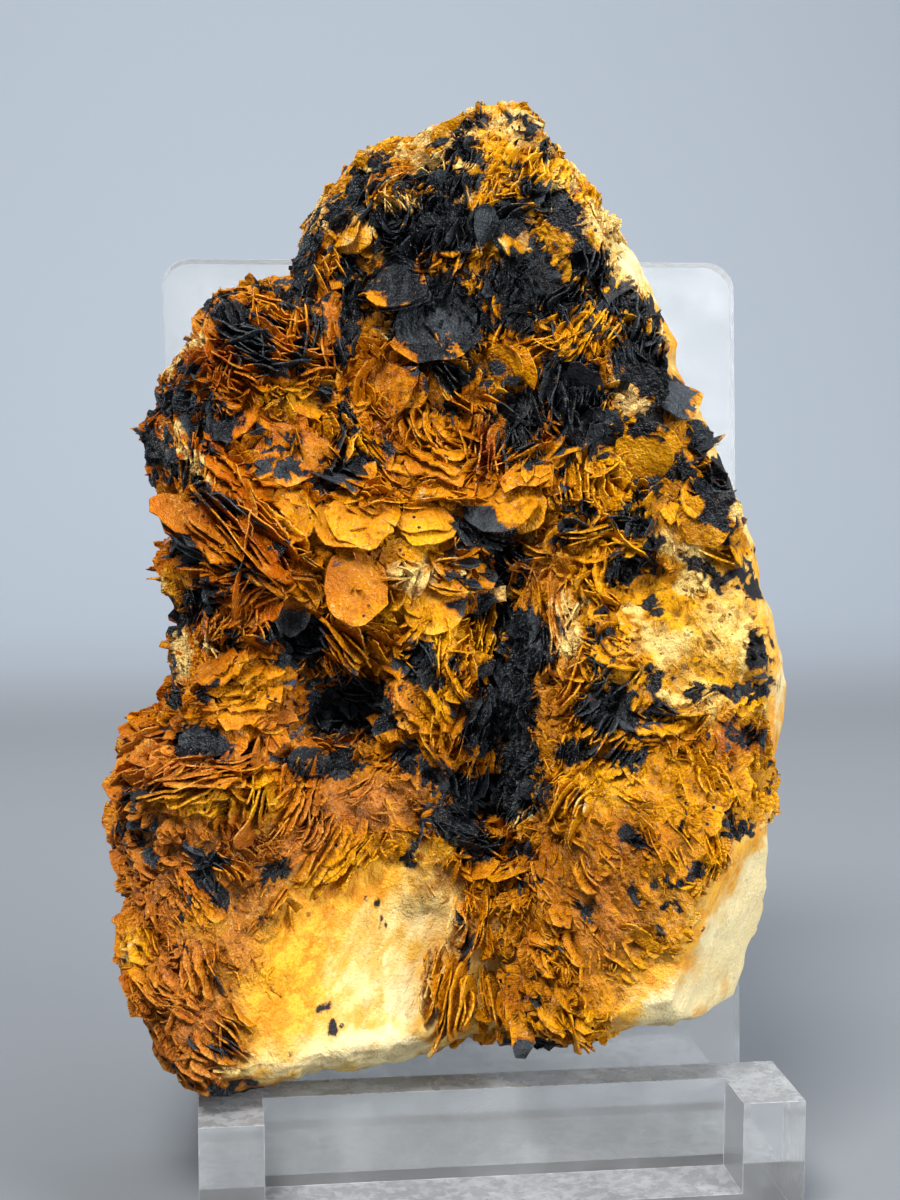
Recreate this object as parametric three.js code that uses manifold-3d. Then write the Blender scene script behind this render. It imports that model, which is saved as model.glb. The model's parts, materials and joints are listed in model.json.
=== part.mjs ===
// A hand specimen of barite on its clear moulded display easel. Millimetres, +Z up, front towards -Y.
// Two solids: the mineral cluster, grown together as one piece, and the easel that it leans on.
import * as THREE from 'three';
import { mergeVertices } from 'three/addons/utils/BufferGeometryUtils.js';
import Module from 'manifold-3d';

const wasm = await Module();
wasm.setup();
const { Manifold, Mesh } = wasm;

// ---------------------------------------------------------------- driving sizes

const TURN = THREE.MathUtils.degToRad(-7);   // the cluster is set down a little askew on the easel
const LEAN = THREE.MathUtils.degToRad(12);   // easel back and cluster lean back together
const SEAT_GAP = 0.3;                        // clearance where the cluster touches the easel

const EASEL_WIDTH = 57;
const BASE_THICKNESS = 3.2;
const LEDGE_HEIGHT = 12;                     // top of the front bar above the table
const BASE_FRONT = -19.5;
const BASE_BACK = 27;
const BLOCK_WIDTH = 6;                       // end blocks that stand out in front of the bar
const BAR_FRONT = -12.5;
const BAR_THICKNESS = 4.3;
const BACK_PLATE_THICKNESS = 3;
const BACK_PLATE_TOP = 93;                   // height of its top edge above the table
const BACK_PLATE_TOP_WIDTH = 63;
const BACK_FACE_AT_LEDGE = 5.2;              // front face of the back plate, at the bar's top height
const BASE_CORNER_RADIUS = 2;
const PLATE_CORNER_RADIUS = 3;
const MEMBER_OVERLAP = 1;                    // how far joined members of the easel run into each other

const FOOT_POINT = new THREE.Vector3(-4.2, -9.7, LEDGE_HEIGHT + 1);   // the cluster's own origin

// ---------------------------------------------------------------- shared helpers

function seededRandom(seed) {
  let state = seed;
  return () => {
    state = (state + 0x6d2b79f5) | 0;
    let mixed = Math.imul(state ^ (state >>> 15), 1 | state);
    mixed = (mixed + Math.imul(mixed ^ (mixed >>> 7), 61 | mixed)) ^ mixed;
    return ((mixed ^ (mixed >>> 14)) >>> 0) / 4294967296;
  };
}

function solidFrom(geometry, matrix = null) {
  const bare = geometry.clone();
  bare.deleteAttribute('normal');
  bare.deleteAttribute('uv');
  const merged = mergeVertices(bare, 1e-5);
  if (matrix) merged.applyMatrix4(matrix);
  return new Manifold(new Mesh({
    numProp: 3,
    vertProperties: new Float32Array(merged.attributes.position.array),
    triVerts: new Uint32Array(merged.index.array),
  }));
}

function geometryFrom(solid) {
  const mesh = solid.getMesh();
  const geometry = new THREE.BufferGeometry();
  geometry.setAttribute('position', new THREE.BufferAttribute(mesh.vertProperties, 3));
  geometry.setIndex(new THREE.BufferAttribute(mesh.triVerts, 1));
  geometry.computeVertexNormals();
  return geometry;
}

function extruded(outline, thickness) {
  return new THREE.ExtrudeGeometry(outline, { depth: thickness, bevelEnabled: false, curveSegments: 4 });
}

function block(x0, x1, y0, y1, z0, z1) {
  const box = new THREE.BoxGeometry(x1 - x0, y1 - y0, z1 - z0);
  return box.translate((x0 + x1) / 2, (y0 + y1) / 2, (z0 + z1) / 2);
}

// ---------------------------------------------------------------- the cluster's massive body

// The body is a thick slab stood on edge. Its own frame: x across, z up along the slab, y into it,
// so the crystal face looks towards -y. The rim is where the front and the back meet.
const RIM = [
  [0.5, 95.5], [3.5, 96.5], [6.5, 96.5], [8.5, 95.5], [10.5, 92.5], [14.5, 87.5], [17.5, 84], [20, 80.5],
  [22.5, 75.5], [24, 73], [23.5, 71], [26.5, 66], [29.5, 58.5], [32, 51.5], [32.5, 47], [33.5, 44.5],
  [35, 37], [34, 33], [32.5, 24.5], [32, 19], [31.5, 13.5], [30, 8.5], [29, 6], [26, 4.5], [21.5, 3.5],
  [17, 2.5], [12.5, 1.7], [9, 1.8], [4.5, 2.2], [1.5, 2], [-2, 0.4], [-7.5, -0.7], [-14, -1.7], [-19, -2.4],
  [-22.5, -2.7], [-25, -1.7], [-26.5, 0.4], [-28.3, 3.4], [-30.5, 6.5], [-32.5, 11.5], [-32, 14.5],
  [-33.5, 23], [-32.5, 27], [-32.5, 32], [-29.5, 35], [-27.5, 36], [-28, 41], [-27.5, 45], [-29.5, 48],
  [-29.5, 50.5], [-28, 53], [-28.5, 56.5], [-31.5, 63], [-29.5, 65.5], [-29.5, 68.5], [-27.5, 71.5],
  [-23.5, 77], [-19, 78.5], [-16, 78.5], [-15, 81], [-15, 84], [-12.5, 87.5], [-9, 92], [-5, 93], [-2, 93.5],
];
const SLAB_CENTRE = [1, 45];
const RIM_DEPTH = 1;                // y of the rim
const FRONT_BULGE = 12;             // how far the crystal face stands in front of the rim
const BACK_BULGE = 16;              // the rough back, cut flat by the easel's plate
const ROUND_TOP = 9.5;              // width of the rounding from the rim to the face
const ROUND_BOTTOM = 4.5;           // the broken lower edge is squarer
const ROUND_CHANGE = [8, 22];       // heights between which one gives way to the other
const BLADE_INSET = 0.8;            // the rim of blades stands this far outside the body
const LOBE_FALLOFF = 1.1;           // how quickly a lobe of the face fades outside its half-size

// Broad lobes and hollows of the crystal face: x, z, half-width, half-height, height (minus sinks).
const RELIEF = [
  [3, 80.5, 12.6, 11.3, 4],         // summit
  [-20, 67, 7.3, 7.2, 4],           // shoulder rosette
  [-20, 48.5, 7.8, 11.3, 5],        // left flank, overhanging the ledge below
  [-8.5, 48.5, 5.8, 8.2, 4],        // two round petals at the heart
  [-1.5, 36.5, 4.4, 7.2, 2],        // tongue under them
  [22.5, 43, 9.2, 11.3, 3],         // pale lobe, right
  [14.5, 64, 8.7, 9.3, 2],
  [-23.5, 26, 8.7, 8.2, 5],         // left ledge
  [-24, 9.5, 6.8, 11.3, 2],
  [18.5, 21.5, 10.7, 11.3, 4],      // lower right lobe
  [4.5, 43, 3.4, 8.2, -5],          // upper part of the dark seam
  [4.5, 28, 3.7, 8.2, -8],          // its deep lower part
  [-9.5, 34.5, 5.3, 4.6, -9],       // cavity beside it
  [-14, 42, 2.4, 3.1, -4],
  [-21.5, 31, 8.7, 1.6, -4],        // step under the left flank
  [20, 46.5, 4.4, 3.6, -4],
  [-4.5, 11.5, 12.6, 11.3, -4],     // pale foot face
  [4.5, 8, 2.4, 6.2, -3],
];

// Flat breaks where the slab came off its vein: normal x, y, z and distance from the slab's middle.
const FRACTURES = [
  [0.80, -0.49, -0.34, 34.5],       // pale face, lower right of the front
  [0.05, 0.86, 0.50, 29.5],         // behind the summit
  [0.69, 0.72, 0.05, 24],           // back, right
  [-0.72, 0.66, -0.2, 28],          // back, lower left
  [-0.6, 0.6, 0.53, 31],            // back, upper left
  [0.15, 0.5, -0.85, 39],           // back of the foot
];

function rimRadius(angle) {
  const [cx, cz] = SLAB_CENTRE;
  const dx = Math.cos(angle);
  const dz = Math.sin(angle);
  let reach = 0;
  RIM.forEach(([ax, az], i) => {
    const [bx, bz] = RIM[(i + 1) % RIM.length];
    const ex = bx - ax;
    const ez = bz - az;
    const cross = dx * ez - dz * ex;
    if (Math.abs(cross) < 1e-9) return;
    const along = ((ax - cx) * ez - (az - cz) * ex) / cross;
    const edge = ((ax - cx) * dz - (az - cz) * dx) / cross;
    if (edge >= 0 && edge <= 1) reach = Math.max(reach, along);
  });
  return reach - BLADE_INSET;
}

function distanceInside(x, z) {
  const [cx, cz] = SLAB_CENTRE;
  const radius = Math.hypot(x - cx, z - cz);
  return rimRadius(Math.atan2(z - cz, x - cx)) - radius;
}

function rounding(z, inside) {
  const above = THREE.MathUtils.smoothstep(z, ...ROUND_CHANGE);
  const width = THREE.MathUtils.lerp(ROUND_BOTTOM, ROUND_TOP, above);
  const short = 1 - Math.min(Math.max(inside, 0) / width, 1);
  return Math.sqrt(1 - short * short);
}

function reliefAt(x, z) {
  return RELIEF.reduce((height, [lx, lz, rx, rz, rise]) => {
    const far = ((x - lx) / rx) ** 2 + ((z - lz) / rz) ** 2;
    return height + rise * Math.exp(-far * LOBE_FALLOFF);
  }, 0);
}

function frontDepth(x, z, inside = distanceInside(x, z)) {
  return RIM_DEPTH - (FRONT_BULGE + reliefAt(x, z)) * rounding(z, inside);
}

function backDepth(x, z, inside) {
  return RIM_DEPTH + BACK_BULGE * rounding(z, inside);
}

// A closed shell of rings: a pole on the front, rings out to the rim, and rings back to a pole behind.
function slabBody() {
  const spokes = 60;
  const frontRings = [0.13, 0.27, 0.41, 0.54, 0.66, 0.77, 0.86, 0.93, 0.975];
  const backRings = [0.94, 0.8, 0.45];
  const points = [];
  const faces = [];
  const ring = (share, depthAt) => {
    const first = points.length / 3;
    for (let i = 0; i < spokes; i += 1) {
      const angle = (2 * Math.PI * i) / spokes;
      const radius = rimRadius(angle);
      const x = SLAB_CENTRE[0] + Math.cos(angle) * radius * share;
      const z = SLAB_CENTRE[1] + Math.sin(angle) * radius * share;
      points.push(x, depthAt(x, z, radius * (1 - share)), z);
    }
    return first;
  };
  const pole = (depthAt) => {
    points.push(SLAB_CENTRE[0], depthAt(...SLAB_CENTRE, rimRadius(0)), SLAB_CENTRE[1]);
    return points.length / 3 - 1;
  };
  const bridge = (inner, outer) => {
    for (let i = 0; i < spokes; i += 1) {
      const next = (i + 1) % spokes;
      faces.push(inner + i, outer + i, outer + next);
      faces.push(inner + i, outer + next, inner + next);
    }
  };
  const frontPole = pole(frontDepth);
  const rings = frontRings.map((share) => ring(share, frontDepth));
  rings.push(ring(1, () => RIM_DEPTH));
  backRings.forEach((share) => rings.push(ring(share, backDepth)));
  const backPole = pole(backDepth);
  for (let i = 0; i < spokes; i += 1) {
    const next = (i + 1) % spokes;
    faces.push(frontPole, rings[0] + i, rings[0] + next);
    faces.push(backPole, rings.at(-1) + next, rings.at(-1) + i);
  }
  for (let i = 1; i < rings.length; i += 1) bridge(rings[i - 1], rings[i]);
  const geometry = new THREE.BufferGeometry();
  geometry.setAttribute('position', new THREE.Float32BufferAttribute(points, 3));
  geometry.setIndex(faces);
  return geometry;
}

// ---------------------------------------------------------------- crested blades

// Crests by region: x, z, crest line in degrees from +x, lie in degrees (0 stands out edge-on,
// 90 lies flat against the face), width along the crest, and how far the blade stands out.
const CRESTS = {
  summit: [
    [-12.5, 80, 50, 25, 9, 2.5], [-9.5, 84, 48, 20, 8, 2.5], [-9, 71.5, -80, -65, 8, 4],
    [-12, 70.5, -76, 12, 9, 3], [-2, 72, 12, -72, 11, 6], [-4.5, 75.5, 5, -58, 8, 5],
    [-5, 81.5, 80, 5, 5, 2.5],
    [0, 78.5, 86, 15, 6, 2.5], [5.5, 79, 80, 60, 5, 3], [10, 78.5, -62, 72, 6, 5], [2.5, 85, 60, 20, 6, 2.5],
    [-3, 88, 20, 40, 7, 3], [6, 90, 40, 45, 7, 3], [9.5, 85, 55, 12, 6, 2.5], [14, 78, 60, 30, 6, 2.5],
    [13, 71, 62, 20, 6, 3], [17.5, 72, 60, 15, 6, 2.5], [4, 67, -70, 58, 6, 4], [0, 66.5, -58, 20, 6, 3],
    [8.5, 69.5, 40, 10, 6, 2.5], [11.5, 64, 72, 5, 6, 3], [17, 63.5, -40, 68, 6, 5], [20, 66, 50, -68, 7, 5],
  ],
  shoulder: [
    [-21, 71, -50, 15, 8, 3], [-18.5, 67.5, -32, 10, 7, 3], [-14.5, 66.5, 22, 10, 5, 3],
    [-21.5, 65.5, 60, 0, 5, 2.5], [-25, 67.5, 45, 10, 5, 2.5], [-15.5, 60, 5, -74, 10, 6],
    [-10, 61, -60, 40, 5, 3], [-5.5, 65, 70, -60, 6, 4], [-25.5, 63, 30, 10, 5, 2.5], [-28, 59, 60, 30, 6, 4],
  ],
  flank: [
    [-24.5, 57, -62, 15, 8, 3], [-25, 52.5, 5, -58, 5.5, 4], [-19, 56, -52, -38, 8, 4],
    [-19, 50, -43, -28, 12, 4], [-19, 45.5, 8, -30, 7, 3.5], [-14, 54, -40, -50, 6, 4],
    [-19.5, 42, 88, 5, 5, 3], [-24.5, 45, 70, 10, 5, 2.5], [-24.5, 39.5, -75, 30, 5, 2.5],
    [-19, 37.5, 10, -50, 7, 4], [-15, 35.5, 22, -50, 6, 3.5], [-21.5, 34, -10, -58, 8, 4],
  ],
  heart: [
    [-9, 54, 0, -76, 9, 7], [-9, 47.5, -5, -73, 9, 7.5], [-9, 40.5, -74, 40, 6, 4], [-3, 46, 28, -68, 8, 6],
    [-2.5, 53, 7, -58, 6.5, 4], [4.5, 56, 18, -54, 11, 6], [3.5, 60.5, -78, 20, 6, 3],
    [-3, 61, -60, -28, 6, 3], [8.5, 60, -82, 10, 8, 3], [-1.5, 35.5, -55, -40, 7, 4.5],
    [-3, 41, 50, -50, 5, 4], [3, 50, -25, -32, 6, 4], [4, 41, 85, 48, 7, 4], [8, 36, 80, 30, 6, 3],
    [2, 25, 20, -50, 7, 4], [9.5, 43, 88, 5, 9, 3],
  ],
  rightFlank: [
    [17.5, 57.5, -20, 60, 7, 5], [13.5, 54.5, 95, 10, 5, 3], [15, 50.5, 0, -20, 7, 3.5],
    [14.5, 47, 80, 40, 6, 4], [22.5, 51.5, -55, 60, 8, 5], [26.5, 53, 30, 0, 6, 3],
    [24.5, 48, -30, -20, 6, 3], [16, 41, -40, -30, 7, 4], [13, 38, 60, 20, 6, 3],
    [15, 31.5, 30, 0, 5, 2.5], [19.5, 33.5, -20, -40, 7, 4], [27, 35.5, 20, -20, 6, 3],
    [23.5, 41, -25, -60, 7, 4], [29, 43.5, 75, 20, 6, 3],
  ],
  ledge: [
    [-28, 29, -20, -40, 8, 4.5], [-24.5, 27, 5, -50, 8, 4.5], [-20.5, 28.5, 15, -38, 6, 4],
    [-26.5, 24, 70, 10, 5, 2.5], [-17.5, 26, 70, 48, 6, 4], [-14, 24.5, 48, 15, 8, 2.5],
    [-9, 26.5, 40, 20, 6, 2.5], [-11, 20.5, 50, 15, 8, 2.5], [-3.5, 23, 95, 12, 4, 3],
    [-20.5, 20.5, -45, 20, 6, 2.5],
    [-24, 16.5, -45, 10, 7, 2.5], [-29, 20, -20, -20, 6, 3], [-16.5, 16, 60, 12, 7, 2.5],
    [-24.5, 9.5, -55, 15, 8, 2.5], [-20.5, 4.5, -50, 15, 7, 2.5], [-29, 13, -60, 20, 6, 3],
  ],
  foot: [
    [0, 8.5, 75, 30, 8, 3], [5, 8, 106, 20, 8, 3], [3, 14, 90, 20, 6, 2.5], [10.5, 26, 60, 20, 6, 3],
    [20, 27, -50, 50, 7, 4], [25, 29, -60, 15, 7, 3], [29, 30, -80, 15, 6, 3], [14, 19.5, -60, 20, 7, 2.5],
    [22.5, 21.5, -55, 15, 7, 2.5], [11, 12, -65, 20, 7, 2.5], [17.5, 12.5, -60, 20, 6, 2.5],
    [10.5, 6.5, -50, 20, 6, 2.5],
  ],
};
const BLADES_PER_CREST = 2;
const BLADE_THICKNESS = 1.3;
const BLADE_ROOT = 1.8;             // how deep a blade is grown into the body
const BLADE_SPACING = 2.1;          // between neighbours of one crest
const BLADE_FAN = 14;               // degrees that neighbours open like a hand of cards
const SLOPE_STEP = 1.5;             // spacing over which the face's slope is measured
const STEEPEST = 1.6;               // slope beyond which a blade no longer follows the face
const SLIVER = 0.1;                 // edges that the joins leave shorter than this are merged
const CUT_REACH = 150;              // half-size of a cutting block, well past the cluster

function bladeOutline(width, rise, random) {
  const uneven = (share) => share * (0.85 + 0.3 * random());
  const outline = new THREE.Shape();
  outline.moveTo(-0.3 * width, -BLADE_ROOT);
  outline.lineTo(0.3 * width, -BLADE_ROOT);
  outline.lineTo(uneven(0.5) * width, uneven(0.6) * rise);
  outline.lineTo((0.4 * random() - 0.2) * width, uneven(1) * rise);
  outline.lineTo(-uneven(0.5) * width, uneven(0.6) * rise);
  outline.closePath();
  return outline;
}

function faceNormal(x, z) {
  const slopeX = (frontDepth(x + SLOPE_STEP, z) - frontDepth(x - SLOPE_STEP, z)) / (2 * SLOPE_STEP);
  const slopeZ = (frontDepth(x, z + SLOPE_STEP) - frontDepth(x, z - SLOPE_STEP)) / (2 * SLOPE_STEP);
  const limit = (slope) => THREE.MathUtils.clamp(slope, -STEEPEST, STEEPEST);
  return new THREE.Vector3(limit(slopeX), -1, limit(slopeZ)).normalize();
}

function bladeMatrix(x, z, along, lie) {
  const outward = faceNormal(x, z);
  const crest = new THREE.Vector3(Math.cos(along), 0, Math.sin(along));
  crest.addScaledVector(outward, -crest.dot(outward)).normalize();
  const across = new THREE.Vector3().crossVectors(crest, outward);
  if (across.dot(new THREE.Vector3(-Math.sin(along), 0, Math.cos(along))) < 0) across.negate();
  const rise = outward.clone().multiplyScalar(Math.cos(lie)).addScaledVector(across, Math.sin(lie));
  const normal = new THREE.Vector3().crossVectors(crest, rise);
  const matrix = new THREE.Matrix4().makeBasis(crest, rise, normal);
  return matrix.setPosition(x, frontDepth(x, z), z);
}

function crestBlades([x, z, alongDegrees, lieDegrees, width, rise], random) {
  const along = THREE.MathUtils.degToRad(alongDegrees);
  const blades = [];
  for (let i = 0; i < BLADES_PER_CREST; i += 1) {
    const place = i - (BLADES_PER_CREST - 1) / 2;
    const step = place * BLADE_SPACING;
    const lie = THREE.MathUtils.degToRad(lieDegrees + place * BLADE_FAN);
    const matrix = bladeMatrix(x - Math.sin(along) * step, z + Math.cos(along) * step, along, lie);
    const plate = extruded(bladeOutline(width, rise, random), BLADE_THICKNESS);
    plate.translate(0, 0, -BLADE_THICKNESS / 2);
    blades.push(solidFrom(plate, matrix));
  }
  return blades;
}

// ---------------------------------------------------------------- cluster, cut where it is broken or rests

function clusterPlacement() {
  const turned = new THREE.Matrix4().makeRotationZ(TURN);
  const leaned = new THREE.Matrix4().makeRotationX(-LEAN);
  return turned.multiply(leaned).setPosition(FOOT_POINT);
}

function halfSpace(matrix) {
  return solidFrom(block(-CUT_REACH, CUT_REACH, 0, CUT_REACH, -CUT_REACH, CUT_REACH), matrix);
}

// Everything beyond a fracture plane, as a solid to take away.
function beyondFracture([nx, ny, nz, distance]) {
  const normal = new THREE.Vector3(nx, ny, nz).normalize();
  const turn = new THREE.Quaternion().setFromUnitVectors(new THREE.Vector3(0, 1, 0), normal);
  const place = new THREE.Vector3(SLAB_CENTRE[0], RIM_DEPTH, SLAB_CENTRE[1]);
  place.addScaledVector(normal, distance);
  return halfSpace(new THREE.Matrix4().compose(place, turn, new THREE.Vector3(1, 1, 1)));
}

function largestOf(solid) {
  return solid.decompose().reduce((best, piece) => (piece.volume() > best.volume() ? piece : best));
}

function bariteCluster() {
  const random = seededRandom(45);
  let cluster = solidFrom(slabBody());
  FRACTURES.forEach((fracture) => {
    cluster = cluster.subtract(beyondFracture(fracture));
  });
  Object.values(CRESTS).flat().forEach((crest) => {
    crestBlades(crest, random).forEach((blade) => {
      cluster = cluster.add(blade);
    });
  });
  const toSlab = clusterPlacement().invert();
  const top = LEDGE_HEIGHT + SEAT_GAP;
  const underLedge = block(-CUT_REACH, CUT_REACH, -CUT_REACH, CUT_REACH, top - CUT_REACH, top);
  const behindPlate = new THREE.Matrix4().makeRotationX(-LEAN);
  behindPlate.setPosition(0, BACK_FACE_AT_LEDGE - SEAT_GAP / Math.cos(LEAN), LEDGE_HEIGHT);
  cluster = cluster.subtract(solidFrom(underLedge, toSlab));
  cluster = cluster.subtract(halfSpace(toSlab.clone().multiply(behindPlate)));
  return geometryFrom(largestOf(cluster.asOriginal().simplify(SLIVER)));
}

// ---------------------------------------------------------------- the easel

function roundedPanel(bottomWidth, topWidth, height, radius) {
  const half = bottomWidth / 2;
  const topHalf = topWidth / 2;
  const outline = new THREE.Shape();
  outline.moveTo(-half, 0);
  outline.lineTo(half, 0);
  outline.lineTo(topHalf, height - radius);
  outline.absarc(topHalf - radius, height - radius, radius, 0, Math.PI / 2, false);
  outline.absarc(-topHalf + radius, height - radius, radius, Math.PI / 2, Math.PI, false);
  outline.closePath();
  return outline;
}

function displayEasel() {
  const half = EASEL_WIDTH / 2;
  const base = roundedPanel(EASEL_WIDTH, EASEL_WIDTH, BASE_BACK - BASE_FRONT, BASE_CORNER_RADIUS);
  const basePlate = extruded(base, BASE_THICKNESS).translate(0, BASE_FRONT, 0);
  const low = BASE_THICKNESS - MEMBER_OVERLAP;
  const barBack = BAR_FRONT + BAR_THICKNESS;
  const bar = block(-half + MEMBER_OVERLAP, half - MEMBER_OVERLAP, BAR_FRONT, barBack, low, LEDGE_HEIGHT);
  const ends = [-1, 1].map((side) => {
    const inner = side * (half - BLOCK_WIDTH);
    const outer = side * half;
    return block(Math.min(inner, outer), Math.max(inner, outer), BASE_FRONT, barBack, low, LEDGE_HEIGHT);
  });
  const plateLength = (BACK_PLATE_TOP - low) / Math.cos(LEAN);
  const panel = roundedPanel(EASEL_WIDTH, BACK_PLATE_TOP_WIDTH, plateLength, PLATE_CORNER_RADIUS);
  const plate = extruded(panel, BACK_PLATE_THICKNESS);
  plate.rotateX(Math.PI / 2).translate(0, BACK_PLATE_THICKNESS, 0).rotateX(-LEAN);
  plate.translate(0, BACK_FACE_AT_LEDGE - (LEDGE_HEIGHT - low) * Math.tan(LEAN), low);
  const members = [bar, ...ends, plate];
  const moulded = members.reduce((solid, member) => solid.add(solidFrom(member)), solidFrom(basePlate));
  return geometryFrom(moulded);
}

// ---------------------------------------------------------------- assembly

const mineral = new THREE.MeshStandardMaterial({
  name: 'barite', color: 0xc97a1e, roughness: 0.55, metalness: 0,
});
const acrylic = new THREE.MeshStandardMaterial({
  name: 'acrylic', color: 0xe4eaee, roughness: 0.06, metalness: 0, transparent: true, opacity: 0.35,
});

const easel = new THREE.Mesh(displayEasel(), acrylic);
easel.name = 'display_stand';

const cluster = new THREE.Mesh(bariteCluster(), mineral);
cluster.name = 'barite_cluster';
const leaning = new THREE.Group();
leaning.rotation.x = -LEAN;
leaning.add(cluster);
const turned = new THREE.Group();
turned.rotation.z = TURN;
turned.position.copy(FOOT_POINT);
turned.add(leaning);

const specimen = new THREE.Group();
specimen.name = 'barite_specimen';
specimen.add(easel, turned);

// The origin is under the middle of the whole object's box, on the table.
specimen.updateMatrixWorld(true);
const whole = new THREE.Box3().setFromObject(specimen, true);
specimen.position.set(-(whole.min.x + whole.max.x) / 2, -(whole.min.y + whole.max.y) / 2, -whole.min.z);

export default specimen;
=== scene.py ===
# A hand specimen of crested barite, leaning on its clear moulded display easel.
import itertools
import json
import math
import bmesh
import bpy
import mathutils
import numpy as np
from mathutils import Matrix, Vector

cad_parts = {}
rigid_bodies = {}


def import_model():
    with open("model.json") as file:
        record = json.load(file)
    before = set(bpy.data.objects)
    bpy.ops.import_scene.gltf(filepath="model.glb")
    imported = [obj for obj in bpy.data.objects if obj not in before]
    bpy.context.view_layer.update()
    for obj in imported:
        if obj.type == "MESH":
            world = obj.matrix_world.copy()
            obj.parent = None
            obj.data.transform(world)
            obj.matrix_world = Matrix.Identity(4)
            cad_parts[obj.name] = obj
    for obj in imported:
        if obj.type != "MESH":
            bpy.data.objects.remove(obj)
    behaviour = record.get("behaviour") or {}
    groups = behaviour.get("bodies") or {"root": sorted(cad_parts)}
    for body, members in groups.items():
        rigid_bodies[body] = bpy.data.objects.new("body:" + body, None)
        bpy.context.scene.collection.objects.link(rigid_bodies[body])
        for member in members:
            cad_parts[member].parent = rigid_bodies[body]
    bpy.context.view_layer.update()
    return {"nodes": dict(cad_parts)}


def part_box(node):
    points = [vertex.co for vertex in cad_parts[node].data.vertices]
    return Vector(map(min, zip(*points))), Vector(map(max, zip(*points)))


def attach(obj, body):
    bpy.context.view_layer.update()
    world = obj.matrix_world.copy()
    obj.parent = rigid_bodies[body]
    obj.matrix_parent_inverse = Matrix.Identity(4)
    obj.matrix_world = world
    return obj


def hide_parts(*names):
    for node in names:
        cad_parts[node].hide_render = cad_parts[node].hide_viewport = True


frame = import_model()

# ---- The massive body ----------------------------------------------------------------------
# Pale, close-grained barite, broken flat behind and at the lower right where it came off its
# vein. It is a thick slab stood on edge: x across, z up along the slab, y into it, in mm.

MM = 0.001
TURN = math.radians(-7)
LEAN = math.radians(12)
SEAT_GAP = 0.3
LEDGE_HEIGHT = 12
BASE_FRONT = -19.5
BACK_FACE_AT_LEDGE = 5.2
FOOT_POINT = (-4.2, -9.7, LEDGE_HEIGHT + 1)

# The outline of the slab's face, x and z in mm, from the top down the right and back up the left.
RIM = [
    (0.5, 95.5), (3.5, 96.5), (6.5, 96.5), (8.5, 95.5), (10.5, 92.5), (14.5, 87.5), (17.5, 84), (20, 80.5),
    (22.5, 75.5), (24, 73), (23.5, 71), (26.5, 66), (29.5, 58.5), (32, 51.5), (32.5, 47), (33.5, 44.5),
    (35, 37), (34, 33), (32.5, 24.5), (32, 19), (31.5, 13.5), (30, 8.5), (29, 6), (26, 4.5), (21.5, 3.5),
    (17, 2.5), (12.5, 1.7), (9, 1.8), (4.5, 2.2), (1.5, 2), (-2, 0.4), (-7.5, -0.7), (-14, -1.7),
    (-19, -2.4), (-22.5, -2.7), (-25, -1.7), (-26.5, 0.4), (-28.3, 3.4), (-30.5, 6.5), (-32.5, 11.5),
    (-32, 14.5), (-33.5, 23), (-32.5, 27), (-32.5, 32), (-29.5, 35), (-27.5, 36), (-28, 41), (-27.5, 45),
    (-29.5, 48), (-29.5, 50.5), (-28, 53), (-28.5, 56.5), (-31.5, 63), (-29.5, 65.5), (-29.5, 68.5),
    (-27.5, 71.5), (-23.5, 77), (-19, 78.5), (-16, 78.5), (-15, 81), (-15, 84), (-12.5, 87.5), (-9, 92),
    (-5, 93), (-2, 93.5),
]
SLAB_CENTRE = (1, 45)
RIM_DEPTH = 1
FRONT_BULGE = 12
BACK_BULGE = 16
ROUND_TOP = 9.5
ROUND_BOTTOM = 3.4
ROUND_GROWS = (8, 22)
RIM_INSET = 1.5
LOBE_FALL = 1.1
NOISE_REACH = 1.8
NOISE_SLOPES = 256
TINY = 1e-9

# Broad lobes and hollows of the crystal face: place in the view, half-width and
# half-height in the view's tenths of a mm, height in mm.
RELIEF = [
    (480, 230, 130, 110, 4), (240, 370, 75, 70, 4), (240, 560, 80, 110, 5), (360, 560, 60, 80, 4),
    (435, 690, 45, 70, 2), (690, 620, 95, 110, 3), (600, 400, 90, 90, 2), (200, 800, 90, 80, 5),
    (190, 980, 70, 110, 2), (650, 850, 110, 110, 4), (500, 620, 35, 80, -5), (500, 780, 38, 80, -8),
    (350, 710, 55, 45, -9), (300, 630, 25, 30, -4), (220, 745, 90, 16, -4), (660, 585, 45, 35, -4),
    (400, 960, 130, 110, -4), (500, 1000, 25, 60, -3),
]
# The view's tenths to one mm of the leaning face, across and up.
FACE_SCALE = (10.3, 9.7)

# Flat breaks: normal x, y, z and distance from the slab's middle.
FRACTURES = [
    (0.80, -0.49, -0.34, 34.5), (0.05, 0.86, 0.50, 29.5), (0.69, 0.72, 0.05, 24), (-0.72, 0.66, -0.2, 28),
    (-0.6, 0.6, 0.53, 31), (0.15, 0.5, -0.85, 39),
]

easel_low, easel_high = (np.array(corner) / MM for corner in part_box("display_stand"))
easel_middle = np.array([(easel_low[0] + easel_high[0]) / 2, easel_low[1] - BASE_FRONT, 0])
slab_turn = np.array([
    [math.cos(TURN), -math.sin(TURN), 0],
    [math.sin(TURN), math.cos(TURN), 0],
    [0, 0, 1],
]) @ np.array([
    [1, 0, 0],
    [0, math.cos(LEAN), math.sin(LEAN)],
    [0, -math.sin(LEAN), math.cos(LEAN)],
])


def to_row(points):
    """Slab millimetres to the object's own frame, still in millimetres."""
    return points @ slab_turn.T + np.array(FOOT_POINT) + easel_middle


def smoothstep(low, high, value):
    share = np.clip((value - low) / (high - low), 0, 1)
    return share * share * (3 - 2 * share)


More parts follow.
